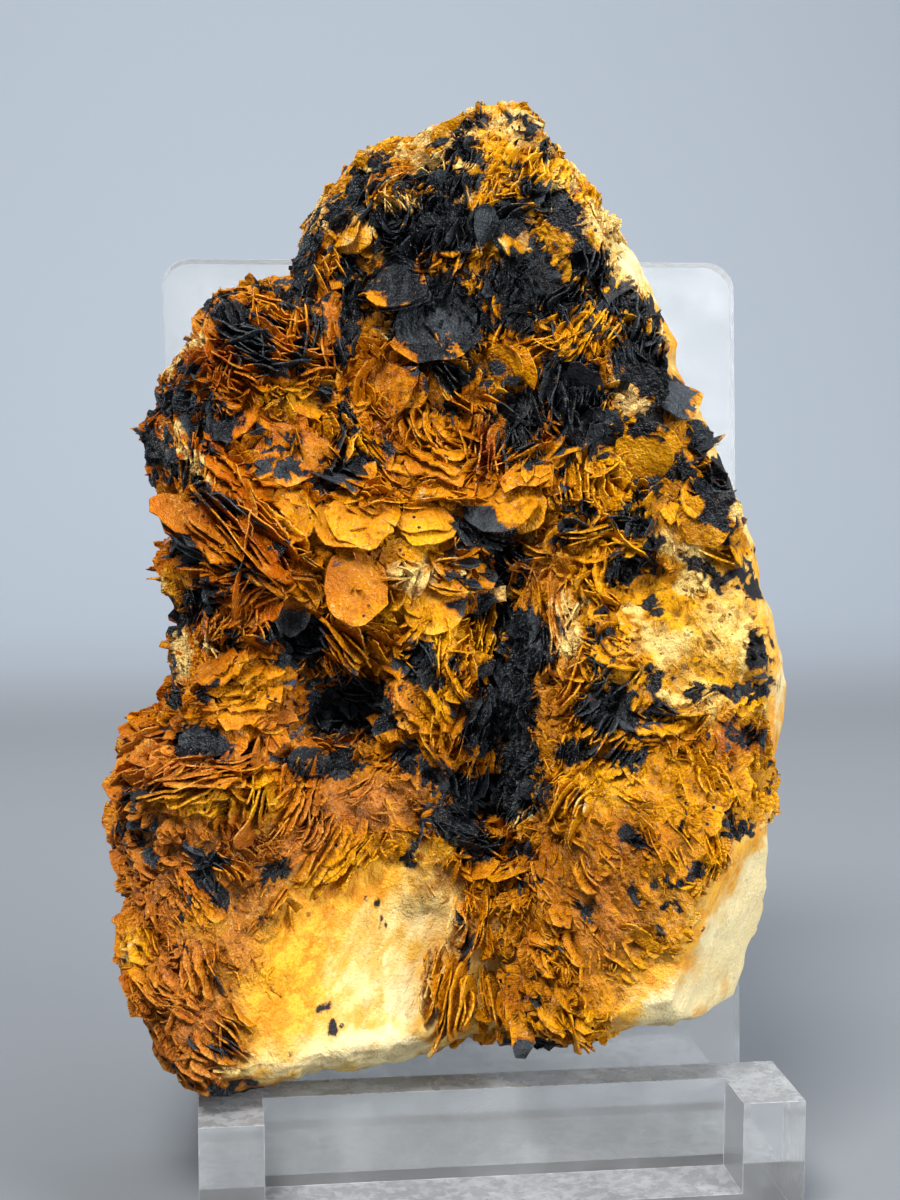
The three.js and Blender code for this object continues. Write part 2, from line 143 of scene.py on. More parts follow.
def noise(points, size, seed):
    """Smooth noise, about -1 to 1, with lumps roughly `size` mm across."""
    draw = np.random.default_rng(seed)
    slopes = draw.normal(size=(NOISE_SLOPES, 3))
    slopes /= np.linalg.norm(slopes, axis=1)[:, None]
    shuffle = draw.permutation(NOISE_SLOPES)
    spot = points / size + draw.uniform(0, 100, 3)
    cell = np.floor(spot).astype(np.int64)
    inside = spot - cell
    fade = inside ** 3 * (inside * (inside * 6 - 15) + 10)
    total = np.zeros(len(points))
    for corner in itertools.product((0, 1), repeat=3):
        near = cell + corner
        pick = np.zeros(len(points), dtype=np.int64)
        for axis in (2, 1, 0):
            pick = shuffle[(near[:, axis] + pick) % NOISE_SLOPES]
        weight = np.where(corner, fade, 1 - fade).prod(axis=1)
        total += weight * (slopes[pick] * (inside - corner)).sum(axis=1)
    return total * NOISE_REACH


def rock(points, size, octaves, seed, roughness=0.5):
    """Noise on noise: each octave is half the size and `roughness` times the height."""
    return sum(noise(points, size / 2 ** i, seed + i) * roughness ** i for i in range(octaves))


def rim_radius(angles):
    """How far the rim of the body lies from the slab's middle, by bearing in radians."""
    start = np.array(RIM) - SLAB_CENTRE
    edge = np.roll(start, -1, axis=0) - start
    across = np.cos(angles)[:, None]
    up = np.sin(angles)[:, None]
    cross = across * edge[:, 1] - up * edge[:, 0]
    cross = np.where(np.abs(cross) < TINY, TINY, cross)
    reach = (start[:, 0] * edge[:, 1] - start[:, 1] * edge[:, 0]) / cross
    share = (start[:, 0] * up - start[:, 1] * across) / cross
    hit = (share >= 0) & (share <= 1) & (reach > 0)
    return np.where(hit, reach, 0).max(axis=1) - RIM_INSET


def inside_rim(x, z):
    """Distance from a point of the face to the rim, measured away from the slab's middle."""
    angles = np.arctan2(z - SLAB_CENTRE[1], x - SLAB_CENTRE[0])
    return rim_radius(angles.ravel()).reshape(x.shape) - np.hypot(x - SLAB_CENTRE[0], z - SLAB_CENTRE[1])


def round_width(z):
    return ROUND_BOTTOM + (ROUND_TOP - ROUND_BOTTOM) * smoothstep(*ROUND_GROWS, z)


def rounding(z, inside):
    short = 1 - np.clip(inside / round_width(z), 0, 1)
    return np.sqrt(1 - short * short)


def relief(x, z):
    height = np.zeros_like(x, dtype=float)
    for across, down, wide, tall, rise in RELIEF:
        lobe_x, lobe_z = on_face(across, down)
        half_width, half_height = np.round((wide / FACE_SCALE[0], tall / FACE_SCALE[1]), 1)
        far = ((x - lobe_x) / half_width) ** 2 + ((z - lobe_z) / half_height) ** 2
        height = height + rise * np.exp(-far * LOBE_FALL)
    return height


def front_depth(x, z, inside=None):
    inside = inside_rim(x, z) if inside is None else inside
    return RIM_DEPTH - (FRONT_BULGE + relief(x, z)) * rounding(z, inside)


def trimmed(points):
    """Cut by the flat breaks: what lies past one is drawn back onto it, towards the slab's middle."""
    middle = np.array([SLAB_CENTRE[0], RIM_DEPTH, SLAB_CENTRE[1]])
    ray = points - middle
    for *normal, distance in FRACTURES:
        normal = np.array(normal) / np.linalg.norm(normal)
        reach = ray @ normal
        ray = ray * np.where(reach > distance, distance / np.maximum(reach, distance), 1)[:, None]
    return ray + middle


def seated(points):
    """Flat where the cluster rests on the easel's bar and against its back."""
    placed = to_row(points)
    placed[:, 2] = np.maximum(placed[:, 2], LEDGE_HEIGHT + SEAT_GAP)
    back = easel_middle[1] + BACK_FACE_AT_LEDGE - SEAT_GAP / math.cos(LEAN)
    placed[:, 1] = np.minimum(placed[:, 1], back + (placed[:, 2] - LEDGE_HEIGHT) * math.tan(LEAN))
    return placed


def grid_normals(points, around):
    """Outward normals of rows of points that each close on themselves."""
    rows = points.reshape(-1, around, 3)
    along = np.roll(rows, -1, axis=1) - np.roll(rows, 1, axis=1)
    down = np.gradient(rows, axis=0)
    normals = np.cross(along, down)
    normals /= np.maximum(np.linalg.norm(normals, axis=2), TINY)[:, :, None]
    return normals.reshape(-1, 3)


def drawn_out(points, bearing, stretch):
    """Places for noise that is drawn out along a bearing on the face, in degrees from +x."""
    slant = math.radians(bearing)
    along = points[:, 0] * math.cos(slant) + points[:, 2] * math.sin(slant)
    across = points[:, 2] * math.cos(slant) - points[:, 0] * math.sin(slant)
    return np.column_stack([across, points[:, 1], along * stretch])


# The view from the front, which the stains, the crests and the camera share. It is 90 mm by
# 120 mm at the specimen, and a place in it is given in tenths of a mm from its left and top.
VIEW_PITCH = math.radians(6)
VIEW_DISTANCE = 195
VIEW_MIDDLE = (450, 600)
TENTHS = 10
AIM_FROM_FOOT = (1.19, 9.70, 45)
# The slab's y where most of the blades stand, in mm.
FACE_DEPTH = -11
view_aim = np.array(FOOT_POINT) + easel_middle + AIM_FROM_FOOT
view_back = np.array([
    math.sin(TURN) * math.cos(VIEW_PITCH), -math.cos(TURN) * math.cos(VIEW_PITCH), math.sin(VIEW_PITCH),
])
view_right = np.cross(-view_back, (0, 0, 1))
view_right /= np.linalg.norm(view_right)
view_up = np.cross(view_right, -view_back)


def seen(points):
    """How far across and up from the middle of the view points show, in mm at the specimen."""
    ray = points - view_aim - view_back * VIEW_DISTANCE
    scale = VIEW_DISTANCE / (ray @ -view_back)
    return ray @ view_right * scale, ray @ view_up * scale


def from_middle(across, down):
    """A place of the view as mm across and up from its middle."""
    return (across - VIEW_MIDDLE[0]) / TENTHS, (VIEW_MIDDLE[1] - down) / TENTHS


def on_face(across, down):
    """The slab's x and z, to the nearest half mm, where a place of the view lies on its face."""
    across, up = from_middle(across, down)
    camera = view_aim + view_back * VIEW_DISTANCE - np.array(FOOT_POINT) - easel_middle
    start = camera @ slab_turn
    way = (view_right * across + view_up * up - view_back * VIEW_DISTANCE) @ slab_turn
    place = start + way * (FACE_DEPTH - start[1]) / way[1]
    return tuple(np.round(place[[0, 2]] * 2) / 2)


# Stains over the face, each a soft ellipse: its place in the view, half-width and
# half-height in tenths of a mm, turn in degrees and strength. Soot is the black coat, milk the pale
# clean barite, gold the honey-coloured, rust the dark red, tan the dull crust.
STAINS = {
    "soot": [
        (470, 121, 22, 7, 10, 1), (527, 126, 20, 9, -30, 1), (547, 148, 13, 6, -45, 0.8),
        (515, 164, 11, 6, -20, 1), (335, 222, 56, 10, 48, 1), (362, 172, 20, 10, 35, 1.1),
        (306, 245, 7, 22, -15, 0.8), (463, 148, 22, 12, -30, 1.1), (450, 182, 28, 14, -15, 1.1),
        (410, 180, 28, 5, 5, 1), (450, 226, 44, 28, 0, 1.35), (390, 226, 24, 16, 0, 1.1),
        (402, 250, 26, 14, 0, 0.9), (395, 276, 30, 15, 0, 1.1), (420, 290, 40, 14, 5, 1.3),
        (436, 316, 44, 18, 12, 1.3), (420, 336, 30, 12, -20, 1.2), (351, 302, 12, 44, 0, 1.3),
        (345, 352, 12, 13, 0, 0.9), (376, 214, 12, 9, 0, 0.8), (525, 285, 38, 34, 0, 1.05),
        (505, 216, 24, 22, 0, 1.1), (548, 200, 28, 13, -25, 1.1), (562, 215, 20, 8, -20, 1),
        (530, 182, 16, 7, -20, 0.9), (540, 256, 7, 20, 10, 1), (577, 252, 7, 18, 10, 1),
        (592, 268, 15, 24, 20, 1), (624, 300, 22, 11, -20, 1.1), (645, 312, 16, 12, -40, 1),
        (560, 302, 30, 15, 0, 1), (520, 322, 28, 11, 0, 0.9), (480, 322, 20, 13, 0, 1.1),
        (470, 342, 14, 9, 0, 0.9), (600, 330, 12, 9, 0, 0.7), (638, 340, 26, 16, -30, 0.95),
        (643, 372, 30, 17, -30, 1.25), (668, 396, 16, 24, 20, 1.2), (573, 392, 28, 32, 0, 1.3),
        (590, 430, 28, 22, 0, 1.25), (562, 364, 16, 8, 0, 1.1), (648, 425, 14, 16, 30, 1.1),
        (500, 405, 16, 14, 0, 0.6), (520, 422, 20, 32, 0, 1.15), (456, 374, 22, 14, 0, 0.9),
        (428, 368, 14, 8, 0, 1), (456, 410, 14, 18, 0, 0.6), (480, 375, 14, 12, 0, 0.7),
        (385, 455, 10, 16, 0, 0.5), (235, 328, 32, 18, -47, 1.3), (252, 350, 28, 8, -50, 1.1),
        (236, 306, 26, 8, -25, 1), (263, 366, 14, 8, -40, 1.1), (286, 368, 24, 7, 15, 1.2),
        (303, 345, 6, 20, 0, 1), (272, 289, 22, 5, -12, 1), (305, 288, 20, 9, 12, 1.2),
        (290, 304, 7, 9, 0, 0.8), (315, 312, 5, 28, 0, 0.8), (270, 320, 7, 6, 0, 0.7),
        (268, 347, 7, 6, 0, 0.7), (180, 402, 24, 14, 0, 1.25), (211, 402, 10, 9, 0, 1.1),
        (216, 425, 22, 9, 0, 1), (213, 447, 18, 7, 0, 0.9), (190, 370, 9, 8, 0, 0.8),
        (150, 444, 10, 28, 5, 1.3), (166, 464, 10, 14, -30, 1.1), (192, 483, 26, 6, -55, 1.1),
        (210, 492, 12, 8, 0, 1), (226, 507, 16, 9, -35, 1), (237, 421, 7, 6, 0, 0.8),
        (255, 434, 3, 7, 0, 1.1), (287, 432, 9, 4, 15, 1.1), (277, 445, 4, 6, 0, 1.1),
        (293, 443, 3, 3, 0, 1.1), (282, 467, 26, 7, -5, 1.3), (302, 467, 14, 5, 12, 1.1),
        (321, 455, 4, 4, 0, 0.8), (322, 480, 12, 10, 0, 1.1), (345, 418, 6, 34, 0, 1.25),
        (320, 396, 9, 9, 0, 1), (352, 467, 25, 8, 0, 1.25), (286, 545, 12, 13, -30, 1),
        (257, 523, 6, 5, 0, 0.9), (238, 565, 20, 5, -10, 1), (186, 551, 14, 12, 0, 1.25),
        (203, 597, 13, 17, 0, 1.25), (178, 618, 12, 16, -20, 0.9), (233, 645, 8, 8, 0, 1.1),
        (167, 672, 5, 14, 0, 1), (174, 698, 6, 12, 0, 1), (209, 690, 8, 9, 0, 1.1),
        (292, 640, 27, 20, -20, 1.35), (316, 640, 13, 16, 0, 1.2), (347, 706, 42, 27, 0, 1.4),
        (325, 765, 34, 12, 0, 1.2), (204, 746, 23, 13, -10, 1.25), (176, 742, 6, 12, 0, 0.9),
        (365, 637, 5, 4, 0, 1.1), (475, 528, 22, 12, -15, 1.2), (500, 547, 30, 13, -30, 1.35),
        (498, 577, 24, 10, -20, 1.2), (480, 603, 12, 18, 0, 0.9), (512, 620, 20, 16, 0, 1.2),
        (528, 650, 22, 30, 0, 1.4), (456, 588, 4, 14, 0, 0.8), (466, 612, 12, 9, 0, 1),
        (419, 668, 17, 15, 0, 1.15), (446, 680, 11, 8, 0, 0.9), (507, 700, 26, 38, 0, 1.4),
        (488, 722, 24, 28, 0, 1.35), (520, 770, 18, 36, 0, 1.4), (490, 795, 46, 20, -5, 1.35),
        (455, 822, 26, 18, 0, 1.35), (480, 848, 18, 14, 0, 1.1), (430, 772, 22, 14, -25, 1.15),
        (407, 758, 12, 12, 0, 1.1), (462, 663, 7, 9, 0, 0.9), (520, 850, 11, 9, 0, 0.9),
        (531, 882, 8, 4, 0, 1), (500, 660, 5, 24, 0, 0.8), (628, 521, 23, 10, 0, 1.25),
        (640, 496, 18, 7, 12, 0.9), (584, 510, 6, 12, 0, 1), (564, 530, 8, 22, 0, 0.9),
        (555, 480, 8, 9, 0, 0.8), (622, 567, 18, 15, 0, 1.15), (645, 562, 16, 12, -25, 1),
        (652, 610, 12, 9, 0, 1.1), (660, 546, 11, 12, 0, 0.95), (706, 571, 28, 8, -28, 1.2),
        (711, 590, 12, 7, -30, 1), (741, 572, 13, 6, 10, 1.1), (752, 590, 7, 14, 35, 1),
        (668, 497, 8, 20, 0, 0.9), (722, 490, 30, 13, -15, 1.3), (716, 522, 18, 20, -10, 1.25),
        (702, 441, 12, 17, -30, 1), (684, 466, 13, 10, 0, 1), (727, 471, 16, 8, -20, 1.1),
        (755, 549, 3, 8, 0, 0.9), (756, 651, 12, 18, 0, 1), (746, 690, 30, 9, 5, 1.1),
        (698, 694, 10, 5, 0, 1.05), (655, 681, 9, 20, -20, 1.15), (658, 712, 16, 9, -15, 1.1),
        (608, 712, 28, 20, -10, 1.25), (627, 760, 20, 12, 25, 1.15), (573, 754, 24, 10, -12, 1.05),
        (600, 625, 10, 24, 20, 0.7), (603, 660, 14, 14, 0, 0.6), (738, 733, 24, 10, 0, 0.8),
        (766, 785, 4, 14, -15, 0.8), (738, 829, 13, 9, 0, 1.05), (636, 838, 18, 14, 0, 0.85),
        (680, 822, 5, 5, 0, 1.1), (684, 880, 13, 6, 20, 1.1), (698, 870, 9, 9, 0, 1),
        (632, 886, 9, 8, 0, 1.1), (661, 878, 7, 7, 0, 0.9), (665, 905, 6, 11, -25, 0.9),
        (682, 910, 5, 8, 0, 0.9), (658, 930, 9, 5, 0, 1), (594, 908, 15, 9, 0, 0.6),
        (552, 950, 12, 4, 10, 0.8), (531, 1001, 10, 5, -20, 0.8), (467, 946, 5, 26, 0, 0.9),
        (442, 1030, 6, 18, 15, 0.5), (520, 1057, 48, 8, 0, 1.3), (122, 838, 6, 15, 0, 0.9),
        (131, 797, 6, 14, 0, 0.8), (142, 838, 10, 8, 0, 0.8), (152, 856, 10, 5, 0, 0.8),
        (206, 858, 26, 8, -8, 1.25), (213, 888, 28, 8, -52, 1.2), (196, 866, 10, 10, -45, 1),
        (273, 873, 16, 10, 20, 1.2), (183, 898, 5, 5, 0, 1.1), (178, 914, 13, 4, -35, 0.8),
        (265, 916, 8, 6, 0, 0.7), (182, 938, 4, 4, 0, 1), (222, 985, 16, 5, -12, 0.7),
        (191, 1041, 4, 7, 0, 1.1), (226, 1049, 7, 13, 35, 1.1), (248, 1034, 4, 6, 0, 0.9),
        (333, 1026, 6, 7, 0, 1.1), (319, 1009, 12, 4, 20, 0.8), (326, 997, 4, 3, 0, 0.9),
        (378, 907, 4, 6, -30, 1), (384, 920, 4, 5, 0, 0.8), (410, 851, 5, 13, -15, 1.15),
        (236, 1093, 24, 7, 0, 1.3), (164, 1071, 12, 5, -45, 0.9),
    ],
    "milk": [
        (612, 228, 28, 15, -50, 1.3), (632, 268, 20, 20, -50, 1.3), (657, 302, 16, 7, -50, 1.1),
        (664, 336, 17, 13, 0, 0.9), (703, 408, 24, 7, -68, 1.1), (722, 446, 24, 6, -62, 1.1),
        (744, 503, 17, 20, 0, 1.3), (758, 545, 10, 34, 0, 0.9), (777, 605, 12, 46, 0, 1),
        (785, 690, 14, 46, 0, 1.2), (498, 122, 16, 7, 0, 1.1), (517, 136, 18, 9, -30, 0.6),
        (465, 140, 16, 3, 20, 1), (400, 151, 9, 6, 0, 1), (440, 156, 13, 5, 15, 0.8),
        (528, 226, 15, 4, -25, 1), (576, 232, 8, 8, 0, 1), (585, 250, 4, 16, 25, 0.7),
        (635, 322, 4, 18, 30, 0.6), (390, 334, 9, 4, 20, 1.1), (346, 248, 5, 30, -40, 0.4),
        (325, 212, 26, 3, 50, 0.8), (692, 560, 38, 12, -38, 1.1), (690, 586, 10, 10, 0, 1.3),
        (634, 620, 20, 8, -32, 1.1), (569, 606, 18, 6, 12, 1.1), (730, 620, 44, 50, 0, 0.6),
        (665, 645, 34, 20, 0, 0.8), (742, 646, 6, 28, 0, 1.2), (668, 695, 28, 7, -35, 1.1),
        (705, 695, 40, 22, -12, 0.6), (414, 574, 24, 15, 0, 0.85), (427, 490, 10, 6, -50, 0.7),
        (463, 575, 20, 4, -65, 1), (501, 602, 4, 15, 0, 1), (521, 814, 12, 11, 0, 1),
        (585, 810, 4, 9, 0, 0.9), (568, 640, 16, 28, 10, 0.8), (630, 402, 24, 10, -38, 1.1),
        (585, 425, 3, 8, 0, 1), (530, 540, 12, 5, -20, 0.7), (612, 580, 4, 14, 20, 0.5),
        (174, 361, 20, 5, 58, 1.2), (193, 341, 14, 5, 25, 1), (174, 430, 18, 9, 0, 0.9),
        (191, 464, 26, 5, -60, 1.1), (164, 458, 24, 3, -60, 1), (181, 655, 8, 26, 0, 1.3),
        (212, 652, 16, 4, -52, 1.2), (160, 586, 5, 12, 0, 0.9), (128, 953, 5, 9, 0, 0.8),
        (289, 464, 12, 2, 5, 1), (246, 468, 7, 3, 0, 0.9), (240, 1070, 38, 7, 0, 0.9),
        (386, 1050, 42, 22, 0, 1.3), (300, 1062, 52, 15, 0, 1.15), (402, 992, 22, 46, 0, 1),
        (362, 980, 30, 24, 0, 0.8), (425, 918, 42, 36, 0, 0.75), (345, 925, 26, 30, 0, 0.5),
        (330, 1045, 60, 20, 0, 0.9),
    ],
    "gold": [
        (507, 150, 46, 16, -15, 0.8), (545, 166, 24, 9, -35, 1.1), (470, 179, 13, 10, 0, 0.9),
        (560, 246, 17, 22, -30, 1.3), (518, 252, 8, 12, 20, 1), (490, 236, 5, 18, 10, 1),
        (670, 328, 20, 20, 0, 1), (690, 386, 24, 12, -50, 1.1), (575, 205, 8, 12, 0, 0.7),
        (465, 275, 12, 12, 0, 0.8), (463, 300, 10, 16, 0, 0.7), (275, 398, 32, 12, 0, 0.9),
        (336, 425, 11, 20, 0, 0.6), (372, 448, 16, 11, 0, 1.1), (300, 520, 30, 20, 0, 0.6),
        (700, 640, 64, 80, 0, 1), (420, 535, 30, 26, 0, 0.9), (420, 605, 36, 16, 18, 0.9),
        (440, 645, 28, 24, 0, 0.9), (490, 645, 12, 32, 0, 1.3), (630, 466, 30, 22, -10, 1),
        (636, 548, 16, 14, 0, 1), (662, 600, 13, 22, 0, 0.9), (690, 640, 50, 30, 0, 1),
        (762, 560, 9, 36, 0, 0.8), (762, 745, 18, 58, 0, 0.8), (510, 382, 14, 18, 0, 1),
        (455, 350, 16, 13, 0, 0.5), (580, 320, 18, 12, 40, 0.5), (600, 790, 32, 15, 0, 1),
        (722, 868, 15, 14, 0, 0.9), (196, 802, 46, 14, 0, 1.1), (262, 800, 16, 27, 0, 1.3),
        (250, 690, 40, 28, 0, 0.5), (280, 970, 46, 75, -15, 1.2), (345, 885, 64, 30, 25, 1),
        (445, 702, 24, 20, 0, 0.9), (440, 852, 16, 10, 0, 0.9), (462, 1000, 36, 36, 0, 0.5),
        (139, 950, 14, 22, 0, 1), (172, 590, 12, 13, 0, 0.9), (656, 966, 40, 16, 0, 0.8),
        (205, 925, 30, 14, -25, 0.7), (560, 1015, 50, 14, 0, 0.5),
    ],
    "rust": [
        (205, 362, 38, 24, 0, 1.1), (232, 388, 40, 20, 0, 0.9), (282, 336, 26, 22, 0, 0.8),
        (326, 325, 13, 48, 0, 1), (312, 238, 9, 30, -25, 0.9), (390, 372, 36, 16, 0, 0.7),
        (392, 432, 18, 28, 0, 1), (485, 450, 14, 32, 0, 1.4), (546, 430, 7, 48, 0, 1),
        (410, 252, 40, 28, 0, 0.7), (205, 520, 36, 16, 0, 0.4), (255, 540, 40, 20, -45, 0.8),
        (232, 588, 48, 14, 0, 0.7), (632, 842, 36, 26, 0, 0.8), (736, 738, 36, 18, 0, 1.2),
        (600, 885, 46, 56, 0, 0.6), (545, 850, 18, 26, 0, 0.8), (508, 1000, 18, 24, 20, 0.8),
        (640, 345, 28, 16, 0, 0.9), (560, 905, 36, 50, 0, 0.5), (602, 370, 24, 12, 0, 0.8),
        (690, 745, 40, 8, 0, 0.9), (530, 940, 16, 50, 0, 0.6), (380, 350, 26, 8, -20, 0.7),
        (330, 655, 26, 8, 0, 0.7), (560, 985, 20, 30, 0, 0.4), (260, 615, 30, 10, 0, 0.4),
        (355, 610, 30, 20, 0, 0.2),
    ],
    "tan": [
        (166, 776, 48, 22, 0, 1.1), (152, 742, 28, 15, 0, 0.9), (258, 752, 42, 8, 10, 1),
        (345, 742, 20, 16, 0, 0.7), (362, 802, 52, 22, 10, 1.25), (305, 838, 42, 20, 38, 1.1),
        (245, 842, 56, 24, 0, 0.8), (150, 850, 36, 44, 0, 1.1), (152, 898, 36, 26, 0, 1),
        (262, 900, 30, 26, 0, 0.8), (172, 965, 20, 46, -35, 1.2), (242, 945, 28, 32, 0, 1),
        (188, 1022, 46, 40, 0, 1.1), (196, 1070, 38, 22, 0, 1.1), (524, 575, 14, 13, 0, 1.5),
        (528, 623, 9, 6, 0, 1.3), (552, 600, 7, 60, 0, 1.1), (552, 690, 18, 46, 0, 0.6),
        (602, 930, 26, 50, 0, 0.6), (190, 510, 24, 12, 0, 0.7), (198, 535, 22, 5, 0, 0.8),
        (410, 170, 34, 10, 8, 0.9), (288, 716, 18, 12, 0, 0.8), (212, 622, 16, 12, 0, 0.6),
        (408, 700, 7, 28, -10, 0.8), (320, 450, 20, 16, 0, 0.4),
    ],
}

# Where the blades are low and lie down, and clean broken barite with none at all: mm across and up
# from the middle of the view, half-width and half-height in mm, turn and strength.
LOW_GROUND = [
    (16.5, -31, 7.5, 13, 0, 0.75), (-20, -34, 9, 14, 20, 0.7), (-26, -27, 7, 8, 0, 0.6),
    (24, -3, 7, 9, 0, 1), (22, -22, 9, 7, 0, 0.6), (-8, -21, 8, 4, 10, 0.9), (-14, -12, 7, 4, 0, 0.4),
    (30, -12, 4, 9, 0, 0.8),
]
CLEAN_GROUND = [(-15, -47, 8.5, 2.4, 8, 1), (-8, -38, 4.5, 6, 0, 1)]
SPOT_FALL = 0.7
SPOT_EDGE = 1.5


def in_mm(spots):
    """Spots of the view with their places, measured from its middle, and their sizes in mm."""
    return [
        (*from_middle(across, down), half_width / TENTHS, half_height / TENTHS, turn, strength)
        for across, down, half_width, half_height, turn, strength in spots
    ]


def patches(spots, across, up):
    """How strong the spots are at each place of the view; where they overlap, the strongest counts."""
    depth = np.zeros(len(across))
    for spot_across, spot_up, half_width, half_height, turn, strength in spots:
        turn = math.radians(turn)
        wide = (across - spot_across) * math.cos(turn) + (up - spot_up) * math.sin(turn)
        tall = (up - spot_up) * math.cos(turn) - (across - spot_across) * math.sin(turn)
        far = (wide / half_width) ** 2 + (tall / half_height) ** 2
        depth = np.maximum(depth, strength * np.exp(-SPOT_FALL * far ** SPOT_EDGE))
    return depth


# The clean lower right corner begins at a slanting line: a place on it, across and up from the
# middle of the view in mm, its slant, how ragged it is, and the heights between which it fades in.
CORNER_PLACE = (30.7, -23.1)
CORNER_WAY = (0.82, 0.57)
CORNER_RAGGED = 1.2
CORNER_TOP = (-17, -21)
# How far the stains' edges wander, finely and broadly, how much further forward they stop towards
# the right, and how wide the honey fringe of the clean corner is, in mm.
STAIN_RAGGED = 0.8
STAIN_DRIFT = 0.5
STAIN_DEPTH = 4.5
FRINGE_WIDTH = 2.6


def past_corner(across, up):
    """How far a point lies past the slanting line."""
    spot = np.column_stack([across, up, np.zeros(len(across))])
    beside = (across - CORNER_PLACE[0]) * CORNER_WAY[0]
    return beside - (up - CORNER_PLACE[1]) * CORNER_WAY[1] + CORNER_RAGGED * rock(spot, 6, 4, 15, 0.6)


def pale_corner(across, up):
    """1 on the clean corner, 0 off it, and soft between."""
    return smoothstep(-1.2, 1.0, past_corner(across, up)) * smoothstep(*CORNER_TOP, up)


def stains_at(points):
    """Each stain's depth at points in row millimetres; the back and sides are clean and pale."""
    across, up = seen(points)
    across = across + STAIN_RAGGED * rock(points, 2.4, 3, 71, 0.8) + STAIN_DRIFT * noise(points, 5, 78)
    up = up + STAIN_RAGGED * rock(points, 2.4, 3, 74, 0.8) + STAIN_DRIFT * noise(points, 5, 79)
    slab_y = (points - np.array(FOOT_POINT) - easel_middle) @ slab_turn[:, 1]
    front = smoothstep(5, 1, slab_y + STAIN_DEPTH * smoothstep(12, 26, across))
    depths = {kind: front * patches(in_mm(spots), across, up) for kind, spots in STAINS.items()}
    depths["milk"] = np.maximum(depths["milk"], 1 - front)
    ripe_across = 0.3 * smoothstep(-20, -8, across) + 0.6 * smoothstep(0, 20, across)
    depths["ripe"] = ripe_across + 0.5 * smoothstep(20, 38, up)
    crown = 0.85 * smoothstep(28, 40, up) * (1 - 0.6 * depths["gold"])
    crown = crown * smoothstep(-0.3, 0.4, noise(points, 2.5, 77))
    clean = pale_corner(across, up)
    fringe = clean * smoothstep(FRINGE_WIDTH, 0, past_corner(across, up))
    depths["milk"] = np.maximum(np.maximum(depths["milk"], crown), clean * (1 - 0.6 * fringe))
    depths["gold"] = np.maximum(depths["gold"], 0.8 * fringe)
    return depths


AROUND = 640
FACE_ROWS = 54
ROUND_ROWS = 34
BACK_ROWS = 26

angles = np.arange(AROUND) * 2 * math.pi / AROUND
reach = rim_radius(angles)
turnover = round_width(SLAB_CENTRE[1] + np.sin(angles) * reach)
face_share = np.linspace(0, 1, FACE_ROWS, endpoint=False)[1:, None]
round_share = 1 - np.cos(np.linspace(math.pi / 2, 0, ROUND_ROWS))[:, None]
inside_face = reach - (reach - turnover) * face_share
inside_round = turnover * round_share
inside_back = reach - (reach - turnover) * np.linspace(0, 1, BACK_ROWS, endpoint=False)[:0:-1, None]
inside = np.concatenate([inside_face, inside_round, inside_round[-2::-1], inside_back])
front_rows = len(inside_face) + len(inside_round)

grid_x = SLAB_CENTRE[0] + np.cos(angles) * (reach - inside)
grid_z = SLAB_CENTRE[1] + np.sin(angles) * (reach - inside)
front_y = front_depth(grid_x[:front_rows], grid_z[:front_rows], inside[:front_rows])
back_y = RIM_DEPTH + BACK_BULGE * rounding(grid_z[front_rows:], inside[front_rows:])
grid = np.stack([grid_x, np.concatenate([front_y, back_y]), grid_z], axis=2).reshape(-1, 3)
grid = trimmed(grid)
outward = grid_normals(grid, AROUND)
if outward[0, 1] > 0:
    outward = -outward


# The pale strip of the right edge: its width, and where it widens, by bearing from the middle of
# the slab in degrees: bearing, how much wider, and over how many degrees.
STRIP_WIDTH = 2.5
STRIP_SWELLS = [(57, 2.0, 9), (-6, 1.3, 10)]
FOOT_PATCH = (-7.2, 8.5, 11, 11.5)


def pale_rim(x, z):
    """Where the bare side of the slab turns into view along the right edge."""
    bearing = np.degrees(np.arctan2(z - SLAB_CENTRE[1], x - SLAB_CENTRE[0]))
    width = STRIP_WIDTH
    for middle, wider, spread in STRIP_SWELLS:
        width = width + wider * np.exp(-((bearing - middle) / spread) ** 2)
    spot = np.column_stack([x, z, np.zeros(len(x))])
    shown = smoothstep(-32, -22, bearing) * smoothstep(72, 62, bearing)
    return shown * smoothstep(0.5, -0.5, inside_rim(x, z) - width - 0.9 * noise(spot, 4, 12))


facing = smoothstep(RIM_DEPTH + 1, RIM_DEPTH - 2.5, grid[:, 1])
first_break = np.array(FRACTURES[0][:3]) / np.linalg.norm(FRACTURES[0][:3])
beyond = (grid - np.array([SLAB_CENTRE[0], RIM_DEPTH, SLAB_CENTRE[1]])) @ first_break - FRACTURES[0][3]
grid_view = seen(to_row(grid))
pale_side = smoothstep(-1.2, -0.2, beyond + 0.7 * noise(grid, 3, 5))
pale_side = pale_side * smoothstep(-1, 0.6, past_corner(*grid_view))
foot_x, foot_z, foot_half_width, foot_half_height = FOOT_PATCH
foot_far = ((grid[:, 0] - foot_x) / foot_half_width) ** 2 + ((grid[:, 2] - foot_z) / foot_half_height) ** 2
pale_foot = facing * smoothstep(1.45, 0.65, foot_far + 0.5 * rock(grid, 5, 4, 9, 0.65))
pale_edge = pale_rim(grid[:, 0], grid[:, 2])
bladed = facing * (1 - pale_side) * (1 - pale_foot) ** 2 * (1 - pale_edge)

ridges = 0.5 - np.abs(noise(grid, 3.1, 30)) - 0.5 * np.abs(noise(grid, 1.5, 31))
low_ground = patches(LOW_GROUND, *grid_view)
STREAK_BEARING = -56
